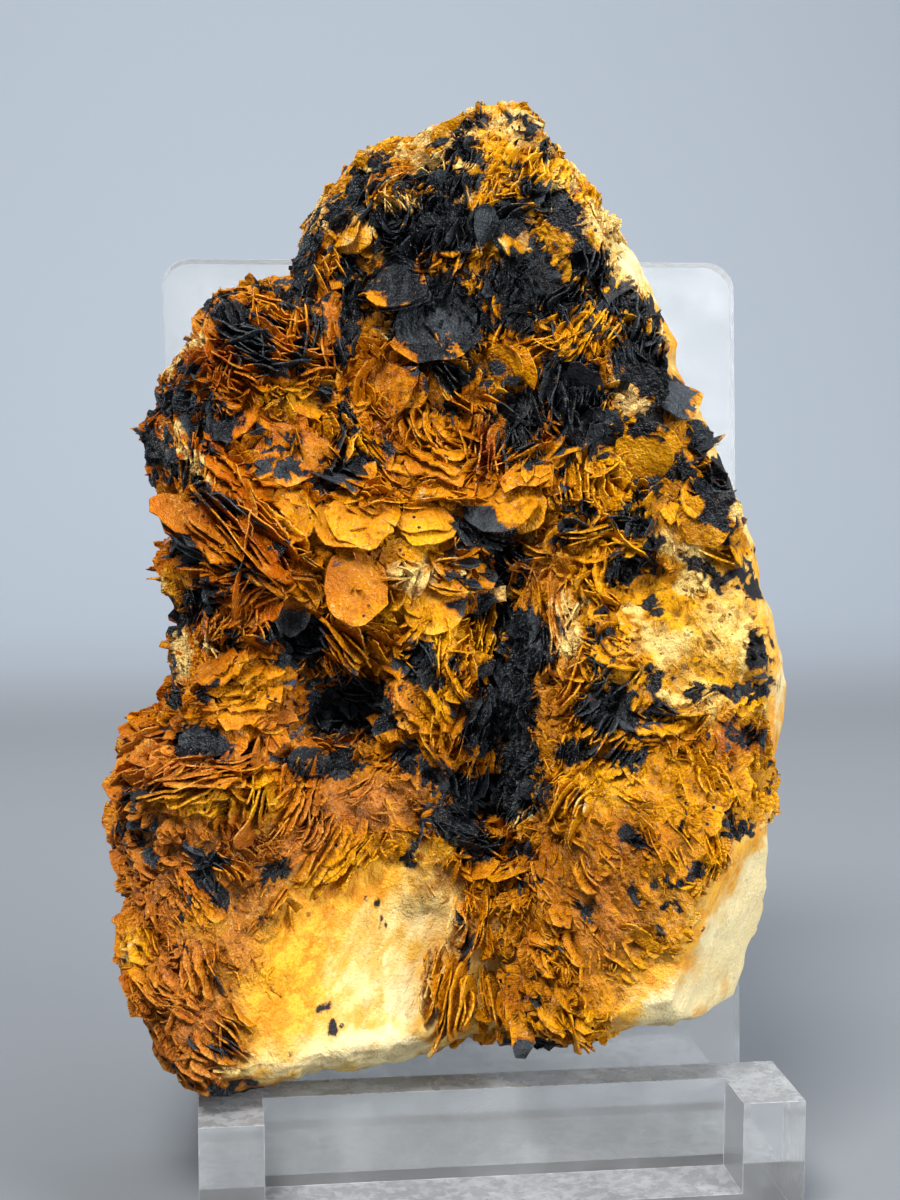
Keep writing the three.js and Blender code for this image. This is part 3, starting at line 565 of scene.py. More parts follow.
# The fibres of the clean foot: their bearing, the x that they run through, and a seed.
FOOT_FIBRES = [(52, -15, 64), (84, -4, 66)]
streak_places = drawn_out(grid, STREAK_BEARING, 0.35)
crust = 0.55 * rock(streak_places, 1.9, 2, 36, 0.6) + 0.22 * noise(grid, 1.0, 38)
crumple = 0.75 * rock(grid, 6, 4, 20) + 0.7 * ridges + low_ground * crust
broken = 1.3 * rock(grid, 11, 3, 40) - 0.8 * np.abs(noise(grid, 7, 44))
broken += 0.35 * rock(grid, 2.4, 4, 47, 0.62)
smooth = 0.45 * rock(grid, 9, 2, 60) + 0.3 * rock(grid, 3.5, 2, 62)
for bearing, mid_x, seed in FOOT_FIBRES:
    fibres = rock(drawn_out(grid, bearing, 0.22), 1.1, 3, seed, 0.65)
    smooth += 0.34 * np.exp(-((grid[:, 0] - mid_x) / 9) ** 2) * fibres
corner = facing * pale_corner(*grid_view)
plain = np.clip(pale_side + pale_foot + pale_edge + corner, 0, 1)
# The low spots of the crumpled relief, where the ground's colour is darkened as painted shade.
pit = smoothstep(0.25, -0.75, crumple - 0.75 * rock(grid, 6, 1, 20))
height = facing * (1 - plain) * crumple + plain * smooth + (1 - facing) * (1 - plain) * broken
body_points = seated(grid + outward * height[:, None])


def solid(name, points, faces):
    """A mesh object from points in row millimetres and faces of three or four corners."""
    mesh = bpy.data.meshes.new(name)
    mesh.from_pydata((points * MM).tolist(), [], faces)
    mesh.update()
    piece = bpy.data.objects.new(name, mesh)
    bpy.context.scene.collection.objects.link(piece)
    return piece


def mark(mesh, **values):
    """Stores each named value on the points of a mesh."""
    for name, value in values.items():
        mesh.attributes.new(name, "FLOAT", "POINT").data.foreach_set("value", value.astype(np.float32))


rows = len(grid) // AROUND
ring = np.arange(AROUND)
after = (ring + 1) % AROUND
steps = np.arange(rows - 1)[:, None] * AROUND
quads = np.stack([steps + ring, steps + AROUND + ring, steps + AROUND + after, steps + after], axis=2)
poles = np.stack([body_points[:AROUND].mean(axis=0), body_points[-AROUND:].mean(axis=0)])
last = (rows - 1) * AROUND
faces = quads.reshape(-1, 4).tolist()
faces += [(len(grid), int(a), int(b)) for a, b in zip(ring, after)]
faces += [(len(grid) + 1, last + int(b), last + int(a)) for a, b in zip(ring, after)]
body = solid("massive_barite", np.concatenate([body_points, poles]), faces)
body.data.shade_smooth()

stains = stains_at(body_points)
# How deep the face's hollows lie, for the painted shade that darkens them.
hollow = np.clip(-relief(grid[:, 0], grid[:, 2]) / 6, 0, 1) * facing
mark(body.data, **{kind: np.append(value, (0.5, 1.0)) for kind, value in stains.items()},
     hollow=np.append(hollow, (0, 0)), plain=np.append(plain, (0, 0)),
     facing=np.append(facing, (1, 0)), pit=np.append(pit, (0, 0)))


class Level:
    """A number or colour that varies over a surface, written into sums as plain numbers are."""

    def __init__(self, finish, socket):
        self.finish = finish
        self.socket = socket

    def sum(self, operation, *values):
        inputs = dict(enumerate(values))
        return self.finish.node("ShaderNodeMath", {"operation": operation}, inputs)

    def __add__(self, other):
        return self.sum("ADD", self, other)

    __radd__ = __add__

    def __mul__(self, other):
        return self.sum("MULTIPLY", self, other)

    __rmul__ = __mul__

    def __sub__(self, other):
        return self.sum("SUBTRACT", self, other)

    def __rsub__(self, other):
        return self.sum("SUBTRACT", other, self)

    def __pow__(self, other):
        return self.sum("POWER", self, other)

    def at_least(self, other):
        return self.sum("MAXIMUM", self, other)

    def between(self, low, high):
        """0 below low, 1 above high, and smooth on the way."""
        settings = {"interpolation_type": "SMOOTHSTEP"}
        return self.finish.node("ShaderNodeMapRange", settings, {0: self, 1: low, 2: high})


class Finish:
    """A material, and the nodes that make it."""

    def __init__(self, name, **constants):
        self.material = bpy.data.materials.new(name)
        self.material.use_nodes = True
        self.tree = self.material.node_tree
        self.surface = self.tree.nodes["Principled BSDF"]
        for socket, value in constants.items():
            self.surface.inputs[socket.replace("_", " ")].default_value = value
        self.place = self.node("ShaderNodeTexCoord", {}, {}, "Object")

    def node(self, kind, settings, inputs, output=0):
        node = self.tree.nodes.new(kind)
        for name, value in settings.items():
            setattr(node, name, value)
        for name, value in inputs.items():
            self.feed(node.inputs[name], value)
        return Level(self, node.outputs[output])

    def feed(self, socket, value):
        if isinstance(value, Level):
            self.tree.links.new(value.socket, socket)
        else:
            socket.default_value = value

    def mix(self, share, first, second):
        first = first if isinstance(first, Level) else (*first, 1)
        second = second if isinstance(second, Level) else (*second, 1)
        settings = {"data_type": "RGBA", "clamp_factor": True}
        return self.node("ShaderNodeMix", settings, {0: share, 6: first, 7: second}, 2)

    def noise(self, size, detail=3, roughness=0.55, stretch=1, slant=90):
        """Cloudy noise, 0 to 1, with lumps about `size` mm across, drawn out along a slanting line."""
        place = self.place
        if stretch != 1:
            lean = (0, math.radians(90 - slant), 0)
            inputs = {"Vector": place, "Rotation": lean, "Scale": (1, 1, stretch)}
            place = self.node("ShaderNodeMapping", {"vector_type": "TEXTURE"}, inputs)
        inputs = {"Vector": place, "Scale": 1 / (size * MM), "Detail": detail, "Roughness": roughness}
        return self.node("ShaderNodeTexNoise", {}, inputs)

    def attribute(self, name):
        return self.node("ShaderNodeAttribute", {"attribute_name": name}, {}, "Fac")

    def bump(self, height, rise, strength=1.0):
        """A relief `rise` mm high."""
        inputs = {"Height": height, "Distance": rise * MM, "Strength": strength}
        return self.node("ShaderNodeBump", {}, inputs)

    def show(self, **levels):
        for socket, value in levels.items():
            self.feed(self.surface.inputs[socket.replace("_", " ")], value)


HONEY = (0.86, 0.42, 0.004)
RUST = (0.30, 0.052, 0.001)
TAN = (0.53, 0.185, 0.03)


def stained(finish, colour):
    """A base colour with the honey, red and dull stains that its surface carries."""
    colour = finish.mix(finish.attribute("gold") * 0.9, colour, HONEY)
    colour = finish.mix(finish.attribute("rust") * 0.8, colour, RUST)
    return finish.mix(finish.attribute("tan") * 0.75, colour, TAN)


def dots(finish, spacing, radius, mask):
    """Small round black specks where the mask is up."""
    settings = {"feature": "F1"}
    inputs = {"Vector": finish.place, "Scale": 1 / (spacing * MM)}
    apart = finish.node("ShaderNodeTexVoronoi", settings, inputs)
    return (1 - apart.between(radius * 0.75, radius * 1.25)) * mask


CREAM = (0.80, 0.58, 0.20)
AMBER = (0.66, 0.36, 0.05)
PALE_CREAM = (0.86, 0.73, 0.40)
BRIGHT_CREAM = (0.92, 0.82, 0.52)
GREY_CREAM = (0.50, 0.45, 0.28)
IRON_VEIN = (0.66, 0.32, 0.04)
GREY_BROWN = (0.38, 0.26, 0.13)
DEEP_HONEY = (0.70, 0.24, 0.005)
BRIGHT_HONEY = (0.90, 0.44, 0.03)
GROUND_DARK = (0.17, 0.038, 0.001)
GROUND_ORANGE = (0.60, 0.19, 0.002)
GROUND_GOLD = (0.74, 0.34, 0.006)
GROUND_RIPE = (0.76, 0.32, 0.003)
GROUND_MILK = (0.92, 0.66, 0.20)
GROUND_SHADE = (0.10, 0.028, 0.005)
PIT_SHADE = (0.06, 0.016, 0.003)
BRIGHT_STREAK = (0.90, 0.44, 0.01)
GROUND_SUGAR = (0.88, 0.52, 0.20)
GROUND_GRIT = (0.24, 0.05, 0.001)
CAVITY_SHADE = (0.012, 0.008, 0.007)
GROUND_HALO = (0.22, 0.07, 0.006)
SOOT = (0.014, 0.013, 0.014)
massive = Finish("massive_barite", Specular_IOR_Level=0.3, Subsurface_Weight=0.12, Subsurface_Scale=0.0012)
massive.surface.inputs["Subsurface Radius"].default_value = (1.0, 0.55, 0.25)
fine = massive.noise(0.7, 2)
grit = massive.noise(0.4, 3, 0.7)
# The clean broken barite: cream, with honey-coloured iron stain along its grain.
grain = massive.noise(1.1, 3, 0.65, 5, 58)
straight = massive.noise(1.3, 3, 0.65, 5, 84)
veins = massive.noise(6.5, 4, 0.6)
clean = massive.mix(grain.between(0.35, 0.65), CREAM, AMBER)
clean = massive.mix(massive.attribute("milk").between(0.5, 1.0) * 0.85, clean, PALE_CREAM)
clean = massive.mix(straight.between(0.55, 0.72) * 0.5, clean, BRIGHT_CREAM)
clean = massive.mix(massive.noise(2.2, 5, 0.7).between(0.56, 0.66) * 0.5, clean, GREY_CREAM)
clean = massive.mix(veins.between(0.5, 0.72) * 0.8, clean, IRON_VEIN)
clean = massive.mix(massive.noise(1.1, 4, 0.7).between(0.62, 0.75) * 0.5, clean, GREY_BROWN)
honey = (massive.attribute("gold") + 0.5 * fine + 0.4 * grain - 0.45).between(0.15, 0.75)
patchy = massive.noise(1.7, 4, 0.7).between(0.42, 0.58)
mottle = massive.mix(patchy, DEEP_HONEY, BRIGHT_HONEY)
clean = massive.mix(honey * 0.85, stained(massive, clean), mottle)
bare = massive.attribute("plain").at_least(1 - massive.attribute("facing"))
# Between the blades: the same orange and honey as they are, with painted shade in its pits and hollows,
# where it lies deep.
streaks = massive.noise(0.9, 3, 0.65, 3.5, 115)
ground = massive.mix(streaks.between(0.38, 0.62), GROUND_DARK, GROUND_ORANGE)
ground = massive.mix(massive.noise(1.6, 4, 0.65).between(0.5, 0.75) * 0.6, ground, GROUND_GOLD)
ground = massive.mix(massive.attribute("ripe") * 0.75, ground, GROUND_RIPE)
ground = stained(massive, ground)
milk = (massive.attribute("milk") + fine * 0.5 - 0.25).between(0.25, 0.8)
ground = massive.mix(milk, ground, GROUND_MILK)
shade = massive.noise(0.8, 4, 0.65).between(0.52, 0.66) * (0.8 - 0.55 * milk)
ground = massive.mix(shade, ground, GROUND_SHADE)
# Painted shade: the ground nearly black in the low spots of its relief.
ground = massive.mix(massive.attribute("pit") * (0.75 - 0.5 * milk), ground, PIT_SHADE)
ground = massive.mix(streaks.between(0.58, 0.70) * 0.45, ground, BRIGHT_STREAK)
sugar = grit.between(0.54, 0.66) * veins.between(0.45, 0.6)
ground = massive.mix(sugar * 0.55, ground, GROUND_SUGAR)
ground = massive.mix((1 - grit.between(0.34, 0.5)) * 0.5, ground, GROUND_GRIT)
colour = massive.mix(bare, ground, clean)
# Painted shade: the hollows of the face darkened nearly to black.
cavity_shade = massive.attribute("hollow").between(0.2, 0.8) * (1 - bare)
colour = massive.mix(cavity_shade * 0.9, colour, CAVITY_SHADE)
sooty = massive.attribute("soot") + massive.noise(0.9, 5, 0.7) * 1.1 - 0.55
specks = dots(massive, 1.9, 0.15, massive.noise(6, 2).between(0.52, 0.6))
colour = massive.mix(sooty.between(0.3, 0.55) * 0.6, colour, GROUND_HALO)
soot = sooty.between(0.52, 0.64).at_least(specks * massive.noise(0.4, 3).between(0.4, 0.6))
colour = massive.mix(soot, colour, SOOT)
spread = {"Vector": massive.place, "Scale": 1 / (0.9 * MM)}
scales = massive.node("ShaderNodeTexVoronoi", {"feature": "F1"}, spread)
relief_of_ground = (streaks * 2 + scales * 0.6 + 0.6 * grit) * (1 - bare)
massive.show(
    Base_Color=colour,
    Roughness=0.09 + 0.3 * fine + 0.3 * bare,
    Normal=massive.bump(grain + 0.7 * straight + 0.8 * grit + relief_of_ground, 0.34, 1.0),
)
body.data.materials.append(massive.material)
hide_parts("barite_cluster")
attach(body, "root")

# ---- The crested blades --------------------------------------------------------------------
# Thin barite plates in books that stand out of the body side by side like slightly opened cards,
# orange to honey with a black coat, grown together at their roots.

# Main crests: place in the view, crest line in degrees from +x, lie in degrees
# (0 stands out edge-on, 90 lies flat), width along the crest and how far it stands out in mm, and
# blades in the book.
CRESTS = {
    "crown": [
        (322, 238, 50, 25, 9, 2.5, 6), (352, 196, 48, 20, 8, 2.5, 5), (345, 243, 62, -68, 5, 4, 3),
        (398, 222, 80, 5, 4, 2.5, 7), (478, 190, 60, 20, 6, 2.5, 5), (420, 168, 20, 40, 7, 3, 4),
        (512, 150, 40, 45, 7, 3, 5), (550, 188, 55, 12, 6, 2.5, 6), (452, 250, 86, 15, 6, 2.5, 7),
        (492, 240, 80, 60, 5, 3, 3), (520, 255, 65, 60, 4, 3, 3), (555, 250, -62, 72, 6, 5, 3),
        (592, 258, 60, 30, 6, 2.5, 5),
    ],
    "summit": [
        (354, 322, -80, -65, 8, 4, 4), (326, 335, -76, 12, 9, 3, 5), (428, 318, 12, -72, 11, 6, 4),
        (405, 282, 5, -58, 8, 5, 4), (587, 330, 62, 20, 6, 3, 6), (632, 318, 60, 15, 6, 2.5, 6),
        (476, 330, 80, 40, 4, 3, 4), (500, 372, -70, 58, 6, 4, 4), (448, 375, -58, 20, 6, 3, 5),
        (540, 345, 40, 10, 6, 2.5, 6), (572, 400, 72, 5, 5, 3, 8), (630, 408, -40, 68, 6, 5, 3),
        (656, 388, 50, -68, 7, 5, 4), (658, 338, 75, 12, 5, 2.5, 6),
    ],
    "shoulder": [
        (232, 328, -50, 15, 8, 3, 6), (258, 364, -32, 10, 7, 3, 5), (300, 372, 22, 10, 5, 3, 5),
        (314, 332, 72, 10, 6, 3, 4), (282, 330, -45, 20, 4, 3, 5), (226, 372, 60, 0, 4, 2, 6),
        (190, 366, 45, 10, 5, 2, 5), (285, 440, 5, -74, 10, 6, 4), (345, 430, -60, 40, 5, 3, 4),
        (390, 392, 70, -60, 6, 4, 4), (180, 402, 30, 10, 5, 2.5, 5), (152, 450, 60, 30, 5, 3.5, 5),
    ],
    "flank": [
        (190, 474, -62, 15, 8, 3, 6), (188, 520, 5, -58, 5.5, 4, 5), (250, 482, -52, -38, 8, 4, 5),
        (250, 548, -43, -28, 12, 4, 7), (247, 592, 8, -30, 7, 3.5, 6), (290, 598, -15, -55, 5, 3.5, 3),
        (300, 502, -40, -50, 6, 4, 4), (245, 626, 88, 5, 4, 2.5, 8), (194, 598, 70, 10, 5, 2.5, 5),
        (184, 655, -75, 30, 5, 2.5, 4), (212, 662, -60, 20, 5, 2.5, 4), (250, 680, 10, -50, 7, 4, 6),
        (292, 702, 22, -50, 6, 3.5, 5), (222, 724, -10, -58, 8, 4, 5),
    ],
    "heart": [
        (352, 645, -74, 40, 6, 4, 5), (420, 592, 28, -68, 8, 6, 4), (423, 522, 7, -58, 6.5, 4, 5),
        (500, 486, 18, -54, 10, 6, 5), (440, 468, 0, -50, 7, 4, 5), (488, 452, -78, 20, 6, 3, 6),
        (420, 430, -60, -28, 6, 3, 5), (541, 440, -82, 10, 9, 3, 3), (435, 700, -55, -40, 7, 4.5, 7),
        (420, 642, 50, -50, 5, 4, 5), (447, 652, 75, 20, 5, 3, 5), (480, 545, -25, -32, 6, 4, 6),
        (489, 642, 85, 48, 7, 4, 4), (515, 692, 80, 30, 6, 3, 6), (490, 762, 75, 20, 8, 3, 6),
        (470, 812, 20, -50, 7, 4, 4), (553, 622, 88, 5, 9, 3, 4),
    ],
    "right_flank": [
        (632, 470, -20, 60, 7, 5, 4), (590, 500, 95, 10, 5, 3, 8), (610, 540, 0, -20, 7, 3.5, 4),
        (603, 578, 80, 40, 6, 4, 4), (650, 548, 85, 30, 5, 3, 4), (695, 530, -55, 60, 8, 5, 4),
        (715, 505, 10, -20, 6, 3, 6), (750, 522, 70, 20, 6, 3, 4), (712, 562, -30, -20, 6, 3, 5),
        (620, 640, -40, -30, 7, 4, 5), (590, 662, 60, 20, 6, 3, 6), (612, 742, 30, 0, 5, 2.5, 8),
        (660, 722, -20, -40, 7, 4, 5), (740, 700, 20, -20, 6, 3, 5), (700, 640, -25, -60, 7, 4, 3),
        (760, 610, 75, 20, 5, 3, 3),
    ],
    "ledge": [
        (150, 762, -20, -40, 8, 4.5, 6), (186, 786, 5, -50, 8, 4.5, 6), (226, 768, 15, -38, 6, 4, 5),
        (172, 808, 70, 10, 5, 2.5, 6), (262, 802, 70, 48, 6, 4, 4), (302, 812, 48, 15, 8, 2.5, 7),
        (352, 790, 40, 20, 6, 2.5, 6), (332, 855, 50, 15, 8, 2.5, 7), (410, 836, 95, 12, 3.5, 3, 9),
        (232, 862, -45, 20, 6, 2.5, 5), (200, 900, -45, 10, 7, 2.5, 5), (150, 862, -20, -20, 6, 3, 6),
        (272, 905, 60, 12, 7, 2.5, 6), (182, 980, -55, 15, 8, 2.5, 7), (222, 1042, -50, 15, 7, 2.5, 6),
        (142, 932, -60, 20, 6, 3, 5),
    ],
    "foot": [
        (448, 990, 75, 30, 8, 3, 6), (500, 1000, 106, 20, 8, 3, 6), (480, 930, 90, 20, 6, 2.5, 5),
        (570, 800, 60, 20, 6, 3, 6), (662, 792, -50, 50, 7, 4, 4), (720, 770, -60, 15, 7, 3, 6),
        (760, 748, -80, 15, 6, 3, 5), (600, 872, -60, 20, 7, 2.5, 7), (690, 852, -55, 15, 7, 2.5, 6),
        (570, 952, -65, 20, 7, 2.5, 7), (640, 950, -60, 20, 6, 2.5, 6), (562, 1022, -50, 20, 6, 2.5, 6),
    ],
}
# Broad plates placed straight on the slab: x and z in mm, then as above. The heart's come first.
HEART_PLATES = [
    (-9, 53.4, 0, -80, 9, 7, 3), (-8.5, 47.8, -5, -78, 9, 7, 3),
]
PALE_PLATES = [
    (23.5, 55.5, -15, -72, 6, 5, 3), (26.5, 51, 10, -78, 5, 5, 3), (20.5, 49, -20, -66, 6, 4.5, 3),
    (25, 47.5, 15, -76, 6.5, 5, 3), (29, 48.5, -10, -70, 4, 4, 3), (21.5, 44, 5, -74, 6, 4.5, 3),
    (26.5, 43, -15, -72, 6, 5, 3), (18, 46, -30, -60, 5, 4, 3), (23, 40.5, 10, -64, 6, 4, 3),
]
THICKNESS = 0.05
SHAPES_EACH = 8
DISC, LEAF, BLADE, FLAKE, PETAL = range(5)
FLAT_LIE = 50
ASTRAY_DEGREES = 40
ASTRAY_SHARE = 0.11
ROOT_SINK = 0.25
# The heel under the clean foot carries no blades: its middle x, half-width and top.
HEEL = (-10, 9, 1.5)
# The main crests: blades for each that the list counts, thickness and spacing; then how far away
# the nearest main crest still decides how a scattered book lies.
LEAVES_EACH = 2.4
CREST_THICK = 6.0
CREST_SPACING = 0.36
FLAT_SPACING = 0.5
CREST_REACH = 3.2
BOX_MARGIN = 1e-5
# The steepest slope of the face that a book still stands square to.
STEEPEST = 1.6
# Outlines with more corners than this have a second ring of points, so that the plate can bend.
FINE_OUTLINE = 20
SHAPE_SEED = 7
BOOK_SEED = 2030
BAR_CLEARANCE = 0.2
BACK_CLEARANCE = 1.2
BROAD_BEND = 0.42
CLOSE_BEND = 0.13
# How far a blade may show past the outline, on the left edge and elsewhere.
LEFT_EDGE = -20
PAST_LEFT = 2.4
PAST_RIM = 1.1


def petal_outline(draw):
    """A broad round plate with a softly lobed edge."""
    around = np.linspace(0, 2 * math.pi, 28, endpoint=False) - math.pi / 2 + math.pi / 28
    reach = 1 + 0.05 * np.sin(3 * around + draw.uniform(0, 6))
    reach += 0.03 * np.sin(7 * around + draw.uniform(0, 6))
    reach += draw.uniform(-0.03, 0.03, 28)
    up = np.sin(around)
    across = np.cos(around) * (0.54 - 0.12 * smoothstep(0.2, -1, up))
    return np.column_stack([across * reach, 0.36 + 0.64 * up * reach])


def disc_outline(draw):
    """A broad ragged disc with a bite or two out of it, narrowed to its root."""
    around = np.linspace(0, 2 * math.pi, 20, endpoint=False) - math.pi / 2 + math.pi / 20
    reach = 1 + draw.uniform(-0.08, 0.08, 20) + 0.07 * np.sin(3 * around + draw.uniform(0, 6))
    reach[draw.integers(3, 17, 2)] -= draw.uniform(0.08, 0.25, 2)
    up = np.sin(around)
    across = np.cos(around) * (0.52 - 0.16 * smoothstep(0.2, -1, up))
    return np.column_stack([across * reach, 0.36 + 0.64 * up * reach])


def leaf_outline(draw):
    """A long leaf of a book, its crest nearly straight and torn in little steps."""
    crest = np.linspace(0.48, -0.48, 11) + draw.uniform(-0.03, 0.03, 11)
    slope = draw.uniform(-0.25, 0.25)
    tall = 0.9 + slope * crest - 0.5 * np.abs(crest) ** 3 + draw.uniform(-0.13, 0.08, 11)
    tall[[0, -1]] -= draw.uniform(0.1, 0.4, 2)
    return np.array([(-0.36, -0.35), (0.36, -0.35), (0.5, 0.15), *zip(crest, tall), (-0.5, 0.15)])


def blade_outline(draw):
    """A narrower blade with a broken, uneven crest."""
    crest = np.linspace(0.44, -0.44, 5) + draw.uniform(-0.06, 0.06, 5)
    tall = 0.95 - 1.1 * np.abs(crest - draw.uniform(-0.25, 0.25)) ** 2 + draw.uniform(-0.14, 0.06, 5)
    sides = draw.uniform(0.1, 0.4, 2)
    return np.array([
        (-0.26, -0.35), (0.26, -0.35), (0.48, sides[0]), *zip(crest, tall), (-0.48, sides[1]),
    ])


def flake_outline(draw):
    """A small many-sided flake."""
    flake = np.array([
        (-0.25, -0.3), (0.25, -0.3), (0.48, 0.3), (0.38, 0.78), (0.06, 0.95), (-0.34, 0.84), (-0.5, 0.35),
    ])
    return flake + draw.uniform(-0.09, 0.09, (7, 2))


def blade_shape(name, outline, draw):
    """One plate, a unit wide and a unit tall, thinner at its crest than at its root."""
    count = len(outline)
    hub = np.array([draw.uniform(-0.08, 0.08), 0.38])
    rings = [outline, hub + 0.55 * (outline - hub)] if count > FINE_OUTLINE else [outline]
    points = np.vstack([*rings, hub])
    middle = len(points) - 1
    cup = draw.uniform(-0.22, 0.22)
    bend = draw.uniform(-0.12, 0.12)
    twist = draw.uniform(-0.2, 0.2)
    sweep = cup * points[:, 0] ** 2 + bend * points[:, 1] ** 2 + twist * points[:, 0] * points[:, 1]
    half = 0.5 * THICKNESS * (1 - 0.6 * np.clip(points[:, 1], 0, 1))
    front = np.column_stack([points, sweep + half])
    back = np.column_stack([points, sweep - half])
    one_side = [(middle, middle - count + i, middle - count + (i + 1) % count) for i in range(count)]
    if len(rings) == 2:
        one_side += [(count + i, i, (i + 1) % count, count + (i + 1) % count) for i in range(count)]
    faces = one_side + [tuple(corner + len(points) for corner in reversed(face)) for face in one_side]
    for i in range(count):
        j = (i + 1) % count
        faces += [(i, len(points) + i, len(points) + j), (i, len(points) + j, j)]
    mesh = bpy.data.meshes.new(name)
    mesh.from_pydata(np.vstack([front, back]).tolist(), [], faces)
    mesh.shade_smooth()
    for edge in mesh.edges:
        first, second = sorted(edge.vertices)
        edge.use_edge_sharp = (first < count) == (second < len(points)) and second % len(points) < count
    mark(mesh, crest=np.tile(np.clip(points[:, 1], 0, 1), 2), side=np.tile(points[:, 0], 2))
    return mesh


shape_draw = np.random.default_rng(SHAPE_SEED)
blade_collection = bpy.data.collections.new("blade_shapes")
outlines = (disc_outline, leaf_outline, blade_outline, flake_outline, petal_outline)
for number in range(len(outlines) * SHAPES_EACH):
    name = f"blade_{number:02d}"
    outline = outlines[number // SHAPES_EACH](shape_draw)
    blade_collection.objects.link(bpy.data.objects.new(name, blade_shape(name, outline, shape_draw)))


def blade_tree(finish):
    """Sets a blade on each point, turned, sized and picked as the point's own values say."""
    tree = bpy.data.node_groups.new("set_blades", "GeometryNodeTree")
    face = tree.interface
    face.new_socket("Geometry", in_out="INPUT", socket_type="NodeSocketGeometry")
    face.new_socket("Blades", in_out="INPUT", socket_type="NodeSocketCollection")
    face.new_socket("Size", in_out="INPUT", socket_type="NodeSocketFloat")
    face.new_socket("Geometry", in_out="OUTPUT", socket_type="NodeSocketGeometry")
    nodes = tree.nodes
    link = tree.links.new

    def value(name, kind):
        node = nodes.new("GeometryNodeInputNamedAttribute")
        node.data_type = kind
        node.inputs["Name"].default_value = name
        return node.outputs["Attribute"]

    given = nodes.new("NodeGroupInput")
    shapes = nodes.new("GeometryNodeCollectionInfo")
    shapes.inputs["Separate Children"].default_value = True
    shapes.inputs["Reset Children"].default_value = True
    link(given.outputs["Blades"], shapes.inputs["Collection"])
    size = nodes.new("ShaderNodeVectorMath")
    size.operation = "SCALE"
    link(value("size", "FLOAT_VECTOR"), size.inputs[0])
    link(given.outputs["Size"], size.inputs["Scale"])
    turned = nodes.new("FunctionNodeEulerToRotation")
    link(value("turned", "FLOAT_VECTOR"), turned.inputs[0])
    setting = nodes.new("GeometryNodeInstanceOnPoints")
    setting.inputs["Pick Instance"].default_value = True
    link(given.outputs["Geometry"], setting.inputs["Points"])
    link(shapes.outputs[0], setting.inputs["Instance"])
    link(value("pick", "INT"), setting.inputs["Instance Index"])
    link(turned.outputs[0], setting.inputs["Rotation"])
    link(size.outputs[0], setting.inputs["Scale"])
    realize = nodes.new("GeometryNodeRealizeInstances")
    link(setting.outputs[0], realize.inputs[0])
    coat = nodes.new("GeometryNodeSetMaterial")
    coat.inputs["Material"].default_value = finish.material
    link(realize.outputs[0], coat.inputs[0])
    made = nodes.new("NodeGroupOutput")
    link(coat.outputs[0], made.inputs[0])
    return tree


def bent(points):
    """Blades bend and buckle together with the ones beside them."""
    broad = np.column_stack([noise(points, 3.6, 81 + axis) for axis in range(3)])
    close = np.column_stack([noise(points, 1.5, 91 + axis) for axis in range(3)])
    return points + BROAD_BEND * broad + CLOSE_BEND * close


def set_blades(name, tree, blades):
    """A plain mesh of one blade for each row of `blades`."""
    points = bpy.data.meshes.new(f"{name}_roots")
    points.from_pydata((blades["place"] * MM).tolist(), [], [])
    for key in ("turned", "size"):
        values = blades[key] * (MM if key == "size" else 1)
        points.attributes.new(key, "FLOAT_VECTOR", "POINT").data.foreach_set("vector", values.ravel())
    points.attributes.new("pick", "INT", "POINT").data.foreach_set("value", blades["pick"].astype(np.int32))
    mark(points, chance=blades["chance"])
    grower = bpy.data.objects.new(f"{name}_grower", points)
    bpy.context.scene.collection.objects.link(grower)
    modifier = grower.modifiers.new("blades", "NODES")
    modifier.node_group = tree
    sockets = {item.name: item.identifier for item in tree.interface.items_tree if item.in_out == "INPUT"}
    modifier[sockets["Blades"]] = blade_collection
    modifier[sockets["Size"]] = 1.0
    bpy.context.view_layer.update()
    grown = grower.evaluated_get(bpy.context.evaluated_depsgraph_get())
    mesh = bpy.data.meshes.new_from_object(grown)
    mesh.name = name
    bpy.data.objects.remove(grower)
    bpy.data.meshes.remove(points)
    corners = np.empty(len(mesh.vertices) * 3, dtype=np.float32)
    mesh.vertices.foreach_get("co", corners)
    corners = bent(corners.reshape(-1, 3) / MM) * MM
    corners = np.clip(corners, np.array(cluster_low) + BOX_MARGIN, np.array(cluster_high) - BOX_MARGIN)
    corners[:, 2] = np.maximum(corners[:, 2], (LEDGE_HEIGHT + SEAT_GAP) * MM)
    mesh.vertices.foreach_set("co", corners.ravel())
    mark(mesh, **stains_at(corners / MM))
    piece = bpy.data.objects.new(name, mesh)
    bpy.context.scene.collection.objects.link(piece)
    return piece


cluster_low, cluster_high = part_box("barite_cluster")


def unit(vectors):
    """The same directions, each one long."""
    return vectors / np.maximum(np.linalg.norm(vectors, axis=1), TINY)[:, None]


def wander(of, step, draw):
    """A value for each leaf that drifts from one to the next within a book."""
    drift = np.cumsum(draw.normal(0, step, len(of)))
    starts = np.searchsorted(of, np.arange(of[-1] + 1))
    return drift - drift[starts][of] + draw.normal(0, step, len(of))


